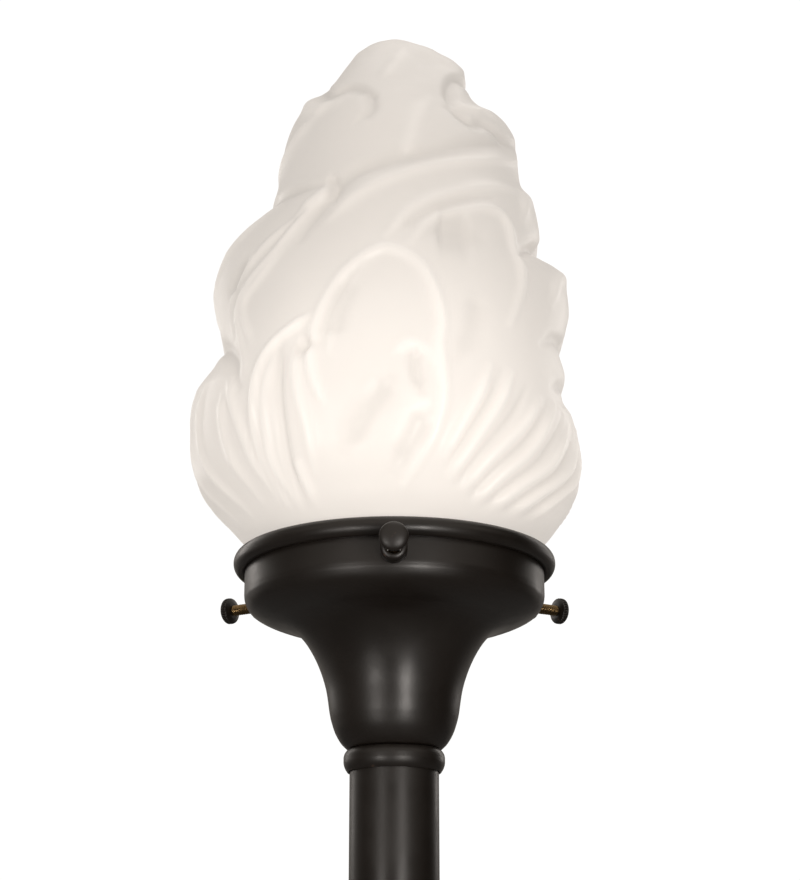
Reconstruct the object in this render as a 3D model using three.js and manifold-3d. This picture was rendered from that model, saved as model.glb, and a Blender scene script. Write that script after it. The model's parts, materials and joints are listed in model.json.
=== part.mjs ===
// Electric garden torch: a flame-shaped glass shade in a spun bell holder on a pole with a ground stake.
// The ground is z = 0, the pole stands on the Z axis, and every length is in millimetres.
import * as THREE from "three";
import { mergeVertices } from "three/addons/utils/BufferGeometryUtils.js";
import Module from "manifold-3d";

const wasm = await Module();
wasm.setup();

// ---- Driving dimensions ----
const GAP = 0.3; // clearance between pieces that touch on the real torch
const FACETS = 32; // sides of a large turned piece
const GASKET_FACETS = 40;
const HOLDER_FACETS = 36; // a multiple of three, for its three bosses
const MIDDLE_FACETS = 24; // sides of a middling turned piece
const SMALL_FACETS = 16; // of a small one
const TINY_FACETS = 12; // and of the smallest
const WIRE_SIDES = 8;
const THIN_SIDES = 6;
const CUT_PAST = 2; // how far a cutting solid reaches past the wall that it cuts

const POLE_HEIGHT = 340; // ground to the underside of the neck collar
const POLE_RADIUS = 16;
const POLE_WALL = 1.5;
const INLET_HEIGHT = 78; // height of the cable inlet in the back of the pole
const INLET_BORE = 3.2;
const GROMMET_WALL = 1.8;
const GROMMET_FLANGE = 6.6; // radius of the grommet's two flanges
const GROMMET_INNER_LIP = 1.6;
const GROMMET_OUTER_LIP = 2.4;
const GROMMET_EDGE = 1.2; // straight edge of the outer flange
const GROMMET_CHAMFER = 1.4;

const STAKE_DEPTH = 160;
const STAKE_HALF_WIDTH = 21;
const STAKE_FIN = 4.5;
const STAKE_POINT = 1.5; // half width of a fin at its tip
const STAKE_SHOULDER = 19.2; // the fins keep their full width down to this depth
const STAKE_ROOT = 1; // how far the fins reach up into the flange
const FLANGE_RADIUS = 42;
const FLANGE_THICKNESS = 5;
const FLANGE_EDGE = 3; // height of the flange's edge below its slope
const FLANGE_SLOPE = 3; // and the slope's width
const HUB_WALL = 5.2;
const HUB_HEIGHT = 44;
const HUB_CHAMFER = 1.5;
const HUB_FILLET = 3; // where the hub meets the flange
const HUB_FILLET_RISE = 5;
const SOCKET_FLOOR = 8; // the pole stands on this level inside the hub
const CLAMP_HEIGHT = 28;
const CLAMP_RADIUS = 2.5;
const CLAMP_HEAD_RADIUS = 4.6;
const CLAMP_HEAD = 3.2;
const CLAMP_HEAD_EDGE = 1.92; // straight part of the clamp screw's head
const CLAMP_HEAD_CROWN = 3.22; // radius of its flat top

const COLLAR_WALL = 1.9;
const COLLAR_HEIGHT = 8;
const COLLAR_WEB = 3.3; // solid top of the collar
const COLLAR_CHAMFER = 2.2;
const COLLAR_LIP = 0.5; // flat edge round the collar's mouth
const COLLAR_SHOULDER = 1.2; // height and width of the slope at its top
const COLLAR_SHOULDER_WIDTH = 1;
const BUSHING_HEIGHT = 18;

const NIPPLE_RADIUS = 4.86;
const NIPPLE_BORE = 3.4;
const NIPPLE_BELOW = 22; // how far the nipple reaches below the collar's top
const NIPPLE_IN_CAP = 7.4; // and how far up into the socket cap
const WASHER_RADIUS = 8.6;
const WASHER_THICKNESS = 1.4;
const NUT_ACROSS_FLATS = 14.2;
const NUT_HEIGHT = 4;
const NIPPLE_FACETS = 20;
const SPACER_HEIGHT = 14; // lifts the socket so that the bulb stands in the middle of the flame
const SPACER_RADIUS = 7.4;

const HOLDER_WALL = 1.2;
const HOLDER_NECK_RADIUS = 23.4; // the slimmest part of the bell above its rounded foot
const HOLDER_HEIGHT = 54.5; // foot of the bell to the corner under the cup's wall
const CUP_CLEARANCE = 3.2; // between the cup's wall and the glass neck
const CUP_CORNER = 2.4; // where the cup's wall becomes straight on its inner side
const CUP_ROUND = 1; // and on its outer side
const CUP_WALL_HEIGHT = 16.4; // corner of the cup to the top of its rolled rim
const RIM_HALF_WIDTH = 2.7;
const RIM_HALF_HEIGHT = 3.4;
const RIM_STEPS = 7; // facets round the rolled rim's section

const SCREW_RADIUS = 2.085;
const SCREW_TRAVEL_ROOM = 14.2; // bare thread between boss and head
const BOSS_RADIUS = 4.65;
const BOSS_HEIGHT = 6.5;
const BOSS_CHAMFER = 0.8;
const SPIGOT_RADIUS = 3.4; // the boss's foot, riveted through the cup's wall
const SPIGOT_INSIDE = 0.9;
const HEAD_RADIUS = 4.75;
const HEAD_RIM = 2.5;
const HEAD_DOME = 1.3;
const HEAD_CHAMFER = 0.5;
// The dome's section: [share of the head's radius, share of the dome's height below its top].
const DOME_SECTION = [[1, 1], [0.78, 0.38], [0.4, 0.08], [0, 0]];
const PAD_RADIUS = 1.9;
const PAD_LENGTH = 1.6;
const PAD_CHAMFER = 0.4;
const PAD_STEM_RADIUS = 1.0;
const PAD_STEM = 2.2;
const SCREW_AZIMUTHS = { front: -90, right: 30, left: 150 }; // degrees from +X

const FITTER_RADIUS = 50.8; // a four-inch glass neck
const GLASS_WALL = 3;
const SHADE_SEAT = 0.4; // the glass stands this much above the cup's corner
const CROWN_SHIFT = -4.5; // the flame's peak leans to the left
const CROWN_WALL = 6.55; // thickness of the glass at its peak
const FITTER_HEIGHT = 14;
const SHADE_HEIGHT = 234;
const SHADE_LEFT = 76.6; // widest reach of the glass on each side of the axis
const SHADE_RIGHT = 69.8;
const SHADE_DEPTH = 71; // widest reach to the front and to the back
const TONGUE_DEPTH = 1.8; // hollows between the tongues of the flame
const TONGUES = 7;
const TONGUE_TWIST = 5; // radians that the tongues turn on their way up
const TONGUES_FROM = 0.1; // share of the height where they start
const TONGUES_TO = 0.95; // and where they end
const GASKET_WIDTH = 4.6;
const GASKET_LEAST = 0.8; // its thickness where it is thinnest

const SOCKET_SHELL_WALL = 0.9;
const SOCKET_SHELL_HEIGHT = 36;
const SOCKET_CAP_HEIGHT = 20;
const CAP_COLLAR_WALL = 3.4;
const CAP_COLLAR_HEIGHT = 5;
// The cap's shoulder, outside and inside: [how far inside the shell's radius, height above the cap's foot].
const CAP_SHOULDER = [[4, 8], [1, 11.5], [0, 15]];
const CAP_HOLLOW = [[0.9, 15], [1.9, 12], [4.6, 9]];
const CAP_FLOOR = 7;
const SHELL_BEAD = 0.5; // the rolled bead at the shell's mouth
const SHELL_BEAD_HEIGHT = 1.2;
const CONTACT_RADIUS = 4.2;
const CONTACT_HEIGHT = 1.2;
const LINER_WALL = 0.6;
const LINER_LIFT = 1; // the liner stands this much higher than the shell
const THREAD_CLEARANCE = 0.7; // between the bulb's base and the screw shell
const SCREW_SHELL_WALL = 0.5;
const SCREW_SHELL_HEIGHT = 22;
const SOCKET_BODY_HEIGHT = 11;
const TERMINAL_HEAD_RADIUS = 2.6;
const TERMINAL_DEPTH = 4; // depth of the slots for the terminals in the porcelain body
const TERMINAL_RISE = 3.4; // height of the terminals above the body's foot
// A terminal's head: [share of its radius, distance above its seat].
const TERMINAL_SECTION = [[0, 0], [0.8, 0], [1, 0.5], [0.7, 1.7], [0, 2.1]];
const WIRE_RADIUS = 1.2;

const BULB_BASE_RADIUS = 13.2;
const BULB_BASE_HEIGHT = 22;
const BULB_RADIUS = 30;
const BULB_LENGTH = 106; // contact to crown
const BULB_WALL = 0.8;
const BULB_BASE_WALL = 0.9;
const TIP_RADIUS = 4.6;
const TIP_HEIGHT = 0.8;
const INSULATOR_FOOT = 5.2; // radius of the black insulator at its foot
const INSULATOR_HEIGHT = 1.7;
const GLASS_IN_BASE = 5; // how deep the bulb's glass stands in its base
// The bulb's side: [share of the way from the base to the widest level, share of the widest radius].
const BULB_SIDE = [[0.22, 0.5], [0.42, 0.64], [0.62, 0.8], [0.8, 0.92], [1, 1]];
const CROWN_STEPS = 4;
const STEM_HEIGHT = 26; // glass stem above the base
const FILAMENT_RISE = 20; // filament above the stem
const FILAMENT_REACH = 13;
const FILAMENT_SAG = 3;
const FILAMENT_RADIUS = 0.6;
const SUPPORT_RADIUS = 0.5;

// ---- Radii and levels worked out from the dimensions ----
const HUB_RADIUS = POLE_RADIUS + GAP + HUB_WALL;
const INLET_HOLE = INLET_BORE + GROMMET_WALL;
const COLLAR_RADIUS = POLE_RADIUS + GAP + COLLAR_WALL;
const CUP_RADIUS = FITTER_RADIUS + CUP_CLEARANCE + HOLDER_WALL;
const SCREW_SHELL_RADIUS = BULB_BASE_RADIUS + THREAD_CLEARANCE + SCREW_SHELL_WALL;
const SOCKET_BODY_RADIUS = SCREW_SHELL_RADIUS - 0.2;
const SOCKET_RADIUS = SCREW_SHELL_RADIUS + 3 * GAP + LINER_WALL + SOCKET_SHELL_WALL;
const COLLAR_TOP = POLE_HEIGHT + COLLAR_HEIGHT;
const POLE_TOP = COLLAR_TOP - COLLAR_WEB - GAP;
const POLE_BOTTOM = SOCKET_FLOOR + GAP;
const HOLDER_FOOT = COLLAR_TOP + GAP;
const HOLDER_FLOOR = HOLDER_FOOT + HOLDER_WALL;
const CUP_CORNER_Z = HOLDER_FOOT + HOLDER_HEIGHT;
const SHADE_BOTTOM = CUP_CORNER_Z + SHADE_SEAT;
const SHADE_TOP = SHADE_BOTTOM + SHADE_HEIGHT;
const RIM_TOP = CUP_CORNER_Z + CUP_WALL_HEIGHT;
const RIM_CENTRE = RIM_TOP - RIM_HALF_HEIGHT;
const SCREW_Z = RIM_TOP - 2 * RIM_HALF_HEIGHT - BOSS_RADIUS - GAP; // bosses sit just under the rim
const NIPPLE_HOLE = NIPPLE_RADIUS + GAP;
const BOSS_INNER = CUP_RADIUS + GAP;
const BOSS_OUTER = BOSS_INNER + BOSS_HEIGHT;
const HEAD_INNER = BOSS_OUTER + SCREW_TRAVEL_ROOM - HEAD_RIM - HEAD_DOME;
const PAD_INNER = FITTER_RADIUS + GAP;
const PAD_OUTER = PAD_INNER + PAD_LENGTH;
const WASHER_BOTTOM = HOLDER_FLOOR + GAP;
const NUT_BOTTOM = WASHER_BOTTOM + WASHER_THICKNESS + GAP;
const SPACER_BOTTOM = NUT_BOTTOM + NUT_HEIGHT + GAP;
const CAP_BOTTOM = SPACER_BOTTOM + SPACER_HEIGHT + GAP;
const NIPPLE_TOP = CAP_BOTTOM + NIPPLE_IN_CAP;
const CAP_TOP = CAP_BOTTOM + SOCKET_CAP_HEIGHT;
const SHELL_BOTTOM = CAP_TOP + GAP;
const SHELL_TOP = SHELL_BOTTOM + SOCKET_SHELL_HEIGHT;
const BODY_BOTTOM = CAP_TOP - SOCKET_BODY_HEIGHT / 2;
const BODY_TOP = BODY_BOTTOM + SOCKET_BODY_HEIGHT;
const CONTACT_BOTTOM = BODY_TOP + GAP;
const BULB_CONTACT_Z = CONTACT_BOTTOM + CONTACT_HEIGHT + GAP;

const root = new THREE.Group();

// ---- Materials ----
function finish(color, roughness, metalness) {
  return new THREE.MeshStandardMaterial({ color, roughness, metalness });
}

const bronze = finish(0x1e1a17, 0.42, 0.75);
const brass = finish(0xb08a45, 0.35, 0.95);
const steel = finish(0xa9aaab, 0.38, 0.95);
const copper = finish(0xb87348, 0.35, 0.95);
const blackPlastic = finish(0x17181a, 0.62, 0);
const rubber = finish(0x1b1a19, 0.85, 0);
const nylon = finish(0xd9d4c6, 0.55, 0);
const fibre = finish(0x8a6a4a, 0.9, 0);
const porcelain = finish(0xe8e4da, 0.4, 0);
const opalGlass = finish(0xf2e9dd, 0.55, 0);
const frostedGlass = finish(0xf6f2ea, 0.5, 0);
const clearGlass = finish(0xdfe6e6, 0.1, 0);
const tungsten = finish(0x6b6a68, 0.5, 0.9);
const whiteInsulation = finish(0xe4e1d8, 0.5, 0);

// ---- Solids ----
function solidOf(geometry) {
  const bare = geometry.index ? geometry.toNonIndexed() : geometry.clone();
  bare.deleteAttribute("normal");
  bare.deleteAttribute("uv");
  const merged = mergeVertices(bare, 1e-4);
  const index = merged.index.array;
  const corners = [];
  for (let i = 0; i < index.length; i += 3) {
    const [a, b, c] = [index[i], index[i + 1], index[i + 2]];
    if (a !== b && b !== c && c !== a) corners.push(a, b, c);
  }
  const build = (triangles) =>
    new wasm.Manifold(
      new wasm.Mesh({
        numProp: 3,
        vertProperties: merged.attributes.position.array,
        triVerts: new Uint32Array(triangles),
      }),
    );
  const made = build(corners);
  return made.volume() < 0 ? build(corners.reverse()) : made;
}

function geometryOf(solid) {
  const mesh = solid.getMesh();
  const points = new Float32Array(mesh.numVert * 3);
  for (let i = 0; i < mesh.numVert; i++) {
    const start = i * mesh.numProp;
    points.set(mesh.vertProperties.subarray(start, start + 3), i * 3);
  }
  const geometry = new THREE.BufferGeometry();
  geometry.setAttribute("position", new THREE.BufferAttribute(points, 3));
  geometry.setIndex(new THREE.BufferAttribute(mesh.triVerts, 1));
  geometry.computeVertexNormals();
  return geometry;
}

function piece(name, solid, material, parent = root) {
  const mesh = new THREE.Mesh(geometryOf(solid), material);
  mesh.name = name;
  parent.add(mesh);
  return mesh;
}

// A solid of revolution about Z from [radius, height] points: a ring's outline is closed here.
function turned(outline, facets = FACETS) {
  const points = outline.map(([r, z]) => new THREE.Vector2(r, z));
  const first = outline[0];
  const last = outline[outline.length - 1];
  if (first[0] > 0 || last[0] > 0) points.push(new THREE.Vector2(...first));
  const geometry = new THREE.LatheGeometry(points, facets);
  geometry.rotateX(Math.PI / 2);
  return solidOf(geometry);
}

// The same, about the X axis: [radius, distance along X] points.
function turnedAlongX(outline, facets = SMALL_FACETS) {
  const points = outline.map(([r, x]) => new THREE.Vector2(r, x));
  const first = outline[0];
  const last = outline[outline.length - 1];
  if (first[0] > 0 || last[0] > 0) points.push(new THREE.Vector2(...first));
  const geometry = new THREE.LatheGeometry(points, facets);
  geometry.rotateZ(-Math.PI / 2);
  return solidOf(geometry);
}

function ring(inner, outer, bottom, top, facets = FACETS) {
  return turned([[inner, bottom], [outer, bottom], [outer, top], [inner, top]], facets);
}

function disc(radius, bottom, top, facets = FACETS) {
  return turned([[0, bottom], [radius, bottom], [radius, top], [0, top]], facets);
}

// A round bar along X from one distance to another, turned about Z to the given azimuth.
function radialBar(radius, from, to, height, azimuth) {
  const bar = new THREE.CylinderGeometry(radius, radius, to - from, SMALL_FACETS);
  bar.rotateZ(-Math.PI / 2);
  bar.translate((from + to) / 2, 0, height);
  bar.rotateZ(THREE.MathUtils.degToRad(azimuth));
  return solidOf(bar);
}

// A round bar whose rings stand on the points of a route, each square to the route there.
function bentBar(route, radius, sides) {
  const points = [];
  const normal = new THREE.Vector3(1, 0, 0);
  route.forEach((centre, i) => {
    const before = route[Math.max(i - 1, 0)];
    const after = route[Math.min(i + 1, route.length - 1)];
    const along = after.clone().sub(before).normalize();
    normal.addScaledVector(along, -normal.dot(along)).normalize();
    const across = along.clone().cross(normal);
    for (let j = 0; j < sides; j++) {
      const turn = (2 * Math.PI * j) / sides;
      const spoke = normal.clone().multiplyScalar(Math.cos(turn)).addScaledVector(across, Math.sin(turn));
      points.push(...centre.clone().addScaledVector(spoke, radius).toArray());
    }
  });
  const index = [];
  const last = (route.length - 1) * sides;
  for (let i = 0; i < route.length - 1; i++) {
    for (let j = 0; j < sides; j++) {
      const [a, b] = [i * sides + j, i * sides + ((j + 1) % sides)];
      index.push(a, b, b + sides, a, b + sides, a + sides);
    }
  }
  for (let j = 1; j < sides - 1; j++) {
    index.push(0, j + 1, j, last, last + j, last + j + 1);
  }
  const geometry = new THREE.BufferGeometry();
  geometry.setAttribute("position", new THREE.Float32BufferAttribute(points, 3));
  geometry.setIndex(index);
  return solidOf(geometry);
}

// Value at a height from [height, value] points in rising order.
function valueAt(points, height) {
  if (height <= points[0][0]) return points[0][1];
  for (let i = 1; i < points.length; i++) {
    const [h0, v0] = points[i - 1];
    const [h1, v1] = points[i];
    if (height <= h1) return v0 + ((v1 - v0) * (height - h0)) / (h1 - h0);
  }
  return points[points.length - 1][1];
}

// ---- Ground stake, pole and cable inlet ----
function groundStake() {
  const fin = new THREE.Shape();
  fin.moveTo(-STAKE_HALF_WIDTH, STAKE_ROOT);
  fin.lineTo(-STAKE_HALF_WIDTH, -STAKE_SHOULDER);
  fin.lineTo(-STAKE_POINT, -STAKE_DEPTH);
  fin.lineTo(STAKE_POINT, -STAKE_DEPTH);
  fin.lineTo(STAKE_HALF_WIDTH, -STAKE_SHOULDER);
  fin.lineTo(STAKE_HALF_WIDTH, STAKE_ROOT);
  const blade = new THREE.ExtrudeGeometry(fin, { depth: STAKE_FIN, bevelEnabled: false });
  blade.translate(0, 0, -STAKE_FIN / 2);
  blade.rotateX(Math.PI / 2);
  const crossBlade = blade.clone();
  crossBlade.rotateZ(Math.PI / 2);
  const head = turned([
    [0, 0],
    [FLANGE_RADIUS, 0],
    [FLANGE_RADIUS, FLANGE_EDGE],
    [FLANGE_RADIUS - FLANGE_SLOPE, FLANGE_THICKNESS],
    [HUB_RADIUS + HUB_FILLET, FLANGE_THICKNESS],
    [HUB_RADIUS, FLANGE_THICKNESS + HUB_FILLET_RISE],
    [HUB_RADIUS, HUB_HEIGHT - HUB_CHAMFER],
    [HUB_RADIUS - HUB_CHAMFER, HUB_HEIGHT],
    [POLE_RADIUS + GAP, HUB_HEIGHT],
    [POLE_RADIUS + GAP, SOCKET_FLOOR],
    [0, SOCKET_FLOOR],
  ]);
  const clampHole = radialBar(
    CLAMP_RADIUS + GAP, POLE_RADIUS - CUT_PAST, HUB_RADIUS + CUT_PAST, CLAMP_HEIGHT, 0);
  piece("ground_stake", head.add(solidOf(blade)).add(solidOf(crossBlade)).subtract(clampHole),
    blackPlastic);
}

function poleClampScrew() {
  const seat = HUB_RADIUS + GAP;
  const screw = turnedAlongX([
    [0, POLE_RADIUS + GAP],
    [CLAMP_RADIUS, POLE_RADIUS + GAP],
    [CLAMP_RADIUS, seat],
    [CLAMP_HEAD_RADIUS, seat],
    [CLAMP_HEAD_RADIUS, seat + CLAMP_HEAD_EDGE],
    [CLAMP_HEAD_CROWN, seat + CLAMP_HEAD],
    [0, seat + CLAMP_HEAD],
  ]);
  piece("pole_clamp_screw", screw, steel).position.z = CLAMP_HEIGHT;
}

function poleTube() {
  const tube = ring(POLE_RADIUS - POLE_WALL, POLE_RADIUS, POLE_BOTTOM, POLE_TOP);
  const hole = radialBar(INLET_HOLE, 0, POLE_RADIUS + CUT_PAST, INLET_HEIGHT, 90);
  piece("pole_tube", tube.subtract(hole), bronze);
}

function cableGrommet() {
  const waist = INLET_HOLE - GAP;
  const innerRadius = POLE_RADIUS - POLE_WALL;
  const innerLip = Math.sqrt(innerRadius ** 2 - GROMMET_FLANGE ** 2) - GAP;
  const outerLip = POLE_RADIUS + GAP;
  const grommet = turnedAlongX([
    [INLET_BORE, innerLip - GROMMET_INNER_LIP],
    [GROMMET_FLANGE, innerLip - GROMMET_INNER_LIP],
    [GROMMET_FLANGE, innerLip],
    [waist, innerLip],
    [waist, outerLip],
    [GROMMET_FLANGE, outerLip],
    [GROMMET_FLANGE, outerLip + GROMMET_EDGE],
    [GROMMET_FLANGE - GROMMET_CHAMFER, outerLip + GROMMET_OUTER_LIP],
    [INLET_BORE, outerLip + GROMMET_OUTER_LIP],
  ]);
  const mesh = piece("cable_grommet", grommet, rubber);
  mesh.rotation.z = Math.PI / 2;
  mesh.position.z = INLET_HEIGHT;
}

// ---- Neck: collar, bushing, threaded nipple and its fasteners ----
function neck() {
  const bore = POLE_RADIUS + GAP;
  const collar = turned([
    [bore, POLE_HEIGHT],
    [bore + COLLAR_LIP, POLE_HEIGHT],
    [COLLAR_RADIUS, POLE_HEIGHT + COLLAR_CHAMFER],
    [COLLAR_RADIUS, COLLAR_TOP - COLLAR_SHOULDER],
    [COLLAR_RADIUS - COLLAR_SHOULDER_WIDTH, COLLAR_TOP],
    [NIPPLE_HOLE, COLLAR_TOP],
    [NIPPLE_HOLE, COLLAR_TOP - COLLAR_WEB],
    [bore, COLLAR_TOP - COLLAR_WEB],
  ]);
  piece("neck_collar", collar, bronze);
  const bushingRadius = POLE_RADIUS - POLE_WALL - GAP;
  piece("pole_top_bushing",
    ring(NIPPLE_HOLE, bushingRadius, POLE_TOP - BUSHING_HEIGHT, POLE_TOP, MIDDLE_FACETS), steel);
  piece("lamp_nipple",
    ring(NIPPLE_BORE, NIPPLE_RADIUS, COLLAR_TOP - NIPPLE_BELOW, NIPPLE_TOP, NIPPLE_FACETS), steel);
  piece("nipple_lock_washer",
    ring(NIPPLE_HOLE, WASHER_RADIUS, WASHER_BOTTOM, WASHER_BOTTOM + WASHER_THICKNESS, NIPPLE_FACETS),
    steel);
  const nut = new THREE.CylinderGeometry(NUT_ACROSS_FLATS / Math.sqrt(3),
    NUT_ACROSS_FLATS / Math.sqrt(3), NUT_HEIGHT, 6);
  nut.rotateX(Math.PI / 2);
  nut.translate(0, 0, NUT_BOTTOM + NUT_HEIGHT / 2);
  const nutHole = disc(NIPPLE_HOLE, NUT_BOTTOM - GAP, SPACER_BOTTOM, NIPPLE_FACETS);
  piece("nipple_hex_nut", solidOf(nut).subtract(nutHole), steel);
  piece("socket_spacer",
    ring(NIPPLE_HOLE, SPACER_RADIUS, SPACER_BOTTOM, SPACER_BOTTOM + SPACER_HEIGHT, NIPPLE_FACETS), brass);
}

// ---- Spun bell holder ----
// The bell's rounded foot: [how far inside the neck's radius, height above the foot].
const BELL_FOOT = [[6.4, 0], [4.2, 2.2], [2.2, 5.6], [0.8, 9.6]];
// The bell's outer side as fractions: [height up the bell, way out from its neck to the cup's wall].
const BELL_FLARE = [
  [0.24, 0.0],
  [0.4, 0.045],
  [0.55, 0.13],
  [0.68, 0.245],
  [0.775, 0.375],
  [0.825, 0.53],
  [0.857, 0.7],
  [0.89, 0.84],
  [0.927, 0.937],
];

function bellSide(inset) {
  const reach = CUP_RADIUS - HOLDER_NECK_RADIUS;
  const foot = BELL_FOOT.map(([inside, up]) => [HOLDER_NECK_RADIUS - inside, up]);
  const flare = BELL_FLARE.map(([up, out]) => [HOLDER_NECK_RADIUS + out * reach, up * HOLDER_HEIGHT]);
  const corner = [
    [CUP_RADIUS - 0.4, HOLDER_HEIGHT - CUP_ROUND],
    [CUP_RADIUS, HOLDER_HEIGHT + CUP_ROUND],
  ];
  const outer = [...foot, ...flare, ...corner].map(([r, z]) => new THREE.Vector2(r, HOLDER_FOOT + z));
  if (!inset) return outer.map((p) => [p.x, p.y]);
  return outer.map((p, i) => {
    const before = outer[Math.max(i - 1, 0)];
    const after = outer[Math.min(i + 1, outer.length - 1)];
    const along = after.clone().sub(before).normalize();
    return [p.x - along.y * inset, Math.max(p.y + along.x * inset, HOLDER_FLOOR)];
  });
}

function shadeHolder() {
  const rimMiddle = CUP_RADIUS - HOLDER_WALL + RIM_HALF_WIDTH;
  const rimFoot = -Math.PI + Math.acos((rimMiddle - CUP_RADIUS) / RIM_HALF_WIDTH);
  const rolledRim = [];
  for (let i = 0; i <= RIM_STEPS; i++) {
    const turn = rimFoot + ((Math.PI - rimFoot) * i) / RIM_STEPS;
    rolledRim.push([
      rimMiddle + RIM_HALF_WIDTH * Math.cos(turn),
      RIM_CENTRE + RIM_HALF_HEIGHT * Math.sin(turn),
    ]);
  }
  const inside = bellSide(HOLDER_WALL).reverse();
  inside.shift();
  const outline = [
    [NIPPLE_HOLE, HOLDER_FOOT],
    ...bellSide(0),
    ...rolledRim,
    [CUP_RADIUS - HOLDER_WALL, CUP_CORNER_Z + CUP_CORNER],
    ...inside,
    [NIPPLE_HOLE, HOLDER_FLOOR],
  ];
  let shell = turned(outline, HOLDER_FACETS);
  for (const azimuth of Object.values(SCREW_AZIMUTHS)) {
    const hole = radialBar(SPIGOT_RADIUS + GAP, FITTER_RADIUS, CUP_RADIUS + CUT_PAST, SCREW_Z, azimuth);
    shell = shell.subtract(hole);
  }
  piece("shade_holder", shell, bronze);
}

// ---- Thumbscrews with their riveted bosses and soft pads ----
function thumbscrewSet(side, azimuth) {
  const station = new THREE.Group();
  station.rotation.z = THREE.MathUtils.degToRad(azimuth);
  station.position.z = SCREW_Z;
  root.add(station);
  const boreRadius = SCREW_RADIUS + GAP;
  const boss = turnedAlongX([
    [boreRadius, CUP_RADIUS - HOLDER_WALL - SPIGOT_INSIDE],
    [SPIGOT_RADIUS, CUP_RADIUS - HOLDER_WALL - SPIGOT_INSIDE],
    [SPIGOT_RADIUS, BOSS_INNER],
    [BOSS_RADIUS, BOSS_INNER],
    [BOSS_RADIUS, BOSS_OUTER - BOSS_CHAMFER],
    [BOSS_RADIUS - BOSS_CHAMFER, BOSS_OUTER],
    [boreRadius, BOSS_OUTER],
  ]);
  piece(`${side}_screw_boss`, boss, bronze, station);
  const stemHole = PAD_STEM_RADIUS + GAP;
  const domeTop = HEAD_INNER + HEAD_RIM + HEAD_DOME;
  const screw = turnedAlongX([
    [stemHole, PAD_OUTER + GAP],
    [SCREW_RADIUS, PAD_OUTER + GAP],
    [SCREW_RADIUS, HEAD_INNER],
    [HEAD_RADIUS - HEAD_CHAMFER, HEAD_INNER],
    [HEAD_RADIUS, HEAD_INNER + HEAD_CHAMFER],
    ...DOME_SECTION.map(([out, below]) => [HEAD_RADIUS * out, domeTop - HEAD_DOME * below]),
    [0, PAD_OUTER + PAD_STEM + 2 * GAP],
    [stemHole, PAD_OUTER + PAD_STEM + 2 * GAP],
  ]);
  piece(`${side}_thumbscrew`, screw, bronze, station);
  const pad = turnedAlongX([
    [0, PAD_INNER],
    [PAD_RADIUS - PAD_CHAMFER, PAD_INNER],
    [PAD_RADIUS, PAD_INNER + PAD_CHAMFER],
    [PAD_RADIUS, PAD_OUTER],
    [PAD_STEM_RADIUS, PAD_OUTER],
    [PAD_STEM_RADIUS, PAD_OUTER + PAD_STEM],
    [0, PAD_OUTER + PAD_STEM],
  ], TINY_FACETS);
  piece(`${side}_screw_pad`, pad, nylon, station);
}

// ---- Glass shade on its gasket ----
// The flame's two sides and its front: [height, reach], as fractions of the shade's own sizes.
const FLAME_LEFT = [
  [0.107, 0.762], [0.131, 0.822], [0.167, 0.918], [0.208, 0.982], [0.265, 1.0], [0.345, 0.971],
  [0.387, 0.889], [0.415, 0.852], [0.457, 0.876], [0.511, 0.9], [0.573, 0.862], [0.615, 0.768],
  [0.645, 0.676], [0.66, 0.625], [0.705, 0.593], [0.78, 0.57], [0.825, 0.521], [0.872, 0.433],
  [0.902, 0.334], [0.919, 0.266], [0.966, 0.214], [0.99, 0.14],
];
const FLAME_RIGHT = [
  [0.107, 0.835], [0.131, 0.894], [0.154, 0.946], [0.179, 0.986], [0.222, 1.0], [0.261, 0.989],
  [0.303, 0.954], [0.331, 0.903], [0.372, 0.923], [0.415, 0.9], [0.443, 0.93], [0.486, 0.957],
  [0.543, 0.94], [0.558, 0.897], [0.585, 0.769], [0.615, 0.799], [0.66, 0.787], [0.69, 0.749],
  [0.72, 0.701], [0.795, 0.682], [0.825, 0.633], [0.857, 0.536], [0.872, 0.427], [0.936, 0.39],
  [0.966, 0.327], [0.99, 0.12],
];
const FLAME_FRONT = [
  [0.107, 0.83], [0.17, 0.955], [0.265, 1.0], [0.36, 0.965], [0.46, 0.905], [0.56, 0.845],
  [0.64, 0.74], [0.73, 0.63], [0.81, 0.56], [0.88, 0.42], [0.94, 0.27], [0.99, 0.13],
];
const FLAME_START = 0.107;

// One side's reach at a height up the shade, blending out of the round fitter neck.
function flameReach(outline, widest, height) {
  const fitterTop = FITTER_HEIGHT / SHADE_HEIGHT;
  if (height <= fitterTop) return FITTER_RADIUS;
  const own = valueAt(outline, height) * widest;
  const blend = Math.min((height - fitterTop) / (FLAME_START - fitterTop), 1);
  return FITTER_RADIUS + (own - FITTER_RADIUS) * blend * blend;
}

function flameRow(height, inset, sides) {
  const left = flameReach(FLAME_LEFT, SHADE_LEFT, height) - inset;
  const right = flameReach(FLAME_RIGHT, SHADE_RIGHT, height) - inset;
  const front = flameReach(FLAME_FRONT, SHADE_DEPTH, height) - inset;
  const swell = Math.sin(
    Math.PI * THREE.MathUtils.clamp((height - TONGUES_FROM) / (TONGUES_TO - TONGUES_FROM), 0, 1));
  const row = [];
  for (let i = 0; i < sides; i++) {
    const turn = (2 * Math.PI * i) / sides;
    const hollow = 0.5 - 0.5 * Math.cos(TONGUES * turn + TONGUE_TWIST * height);
    const trim = inset ? 0 : TONGUE_DEPTH * swell * hollow * Math.abs(Math.sin(turn));
    row.push([
      (right - left) / 2 + ((right + left) / 2) * Math.cos(turn),
      (front - trim) * Math.sin(turn),
      SHADE_BOTTOM + height * SHADE_HEIGHT,
    ]);
  }
  return row;
}

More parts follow.
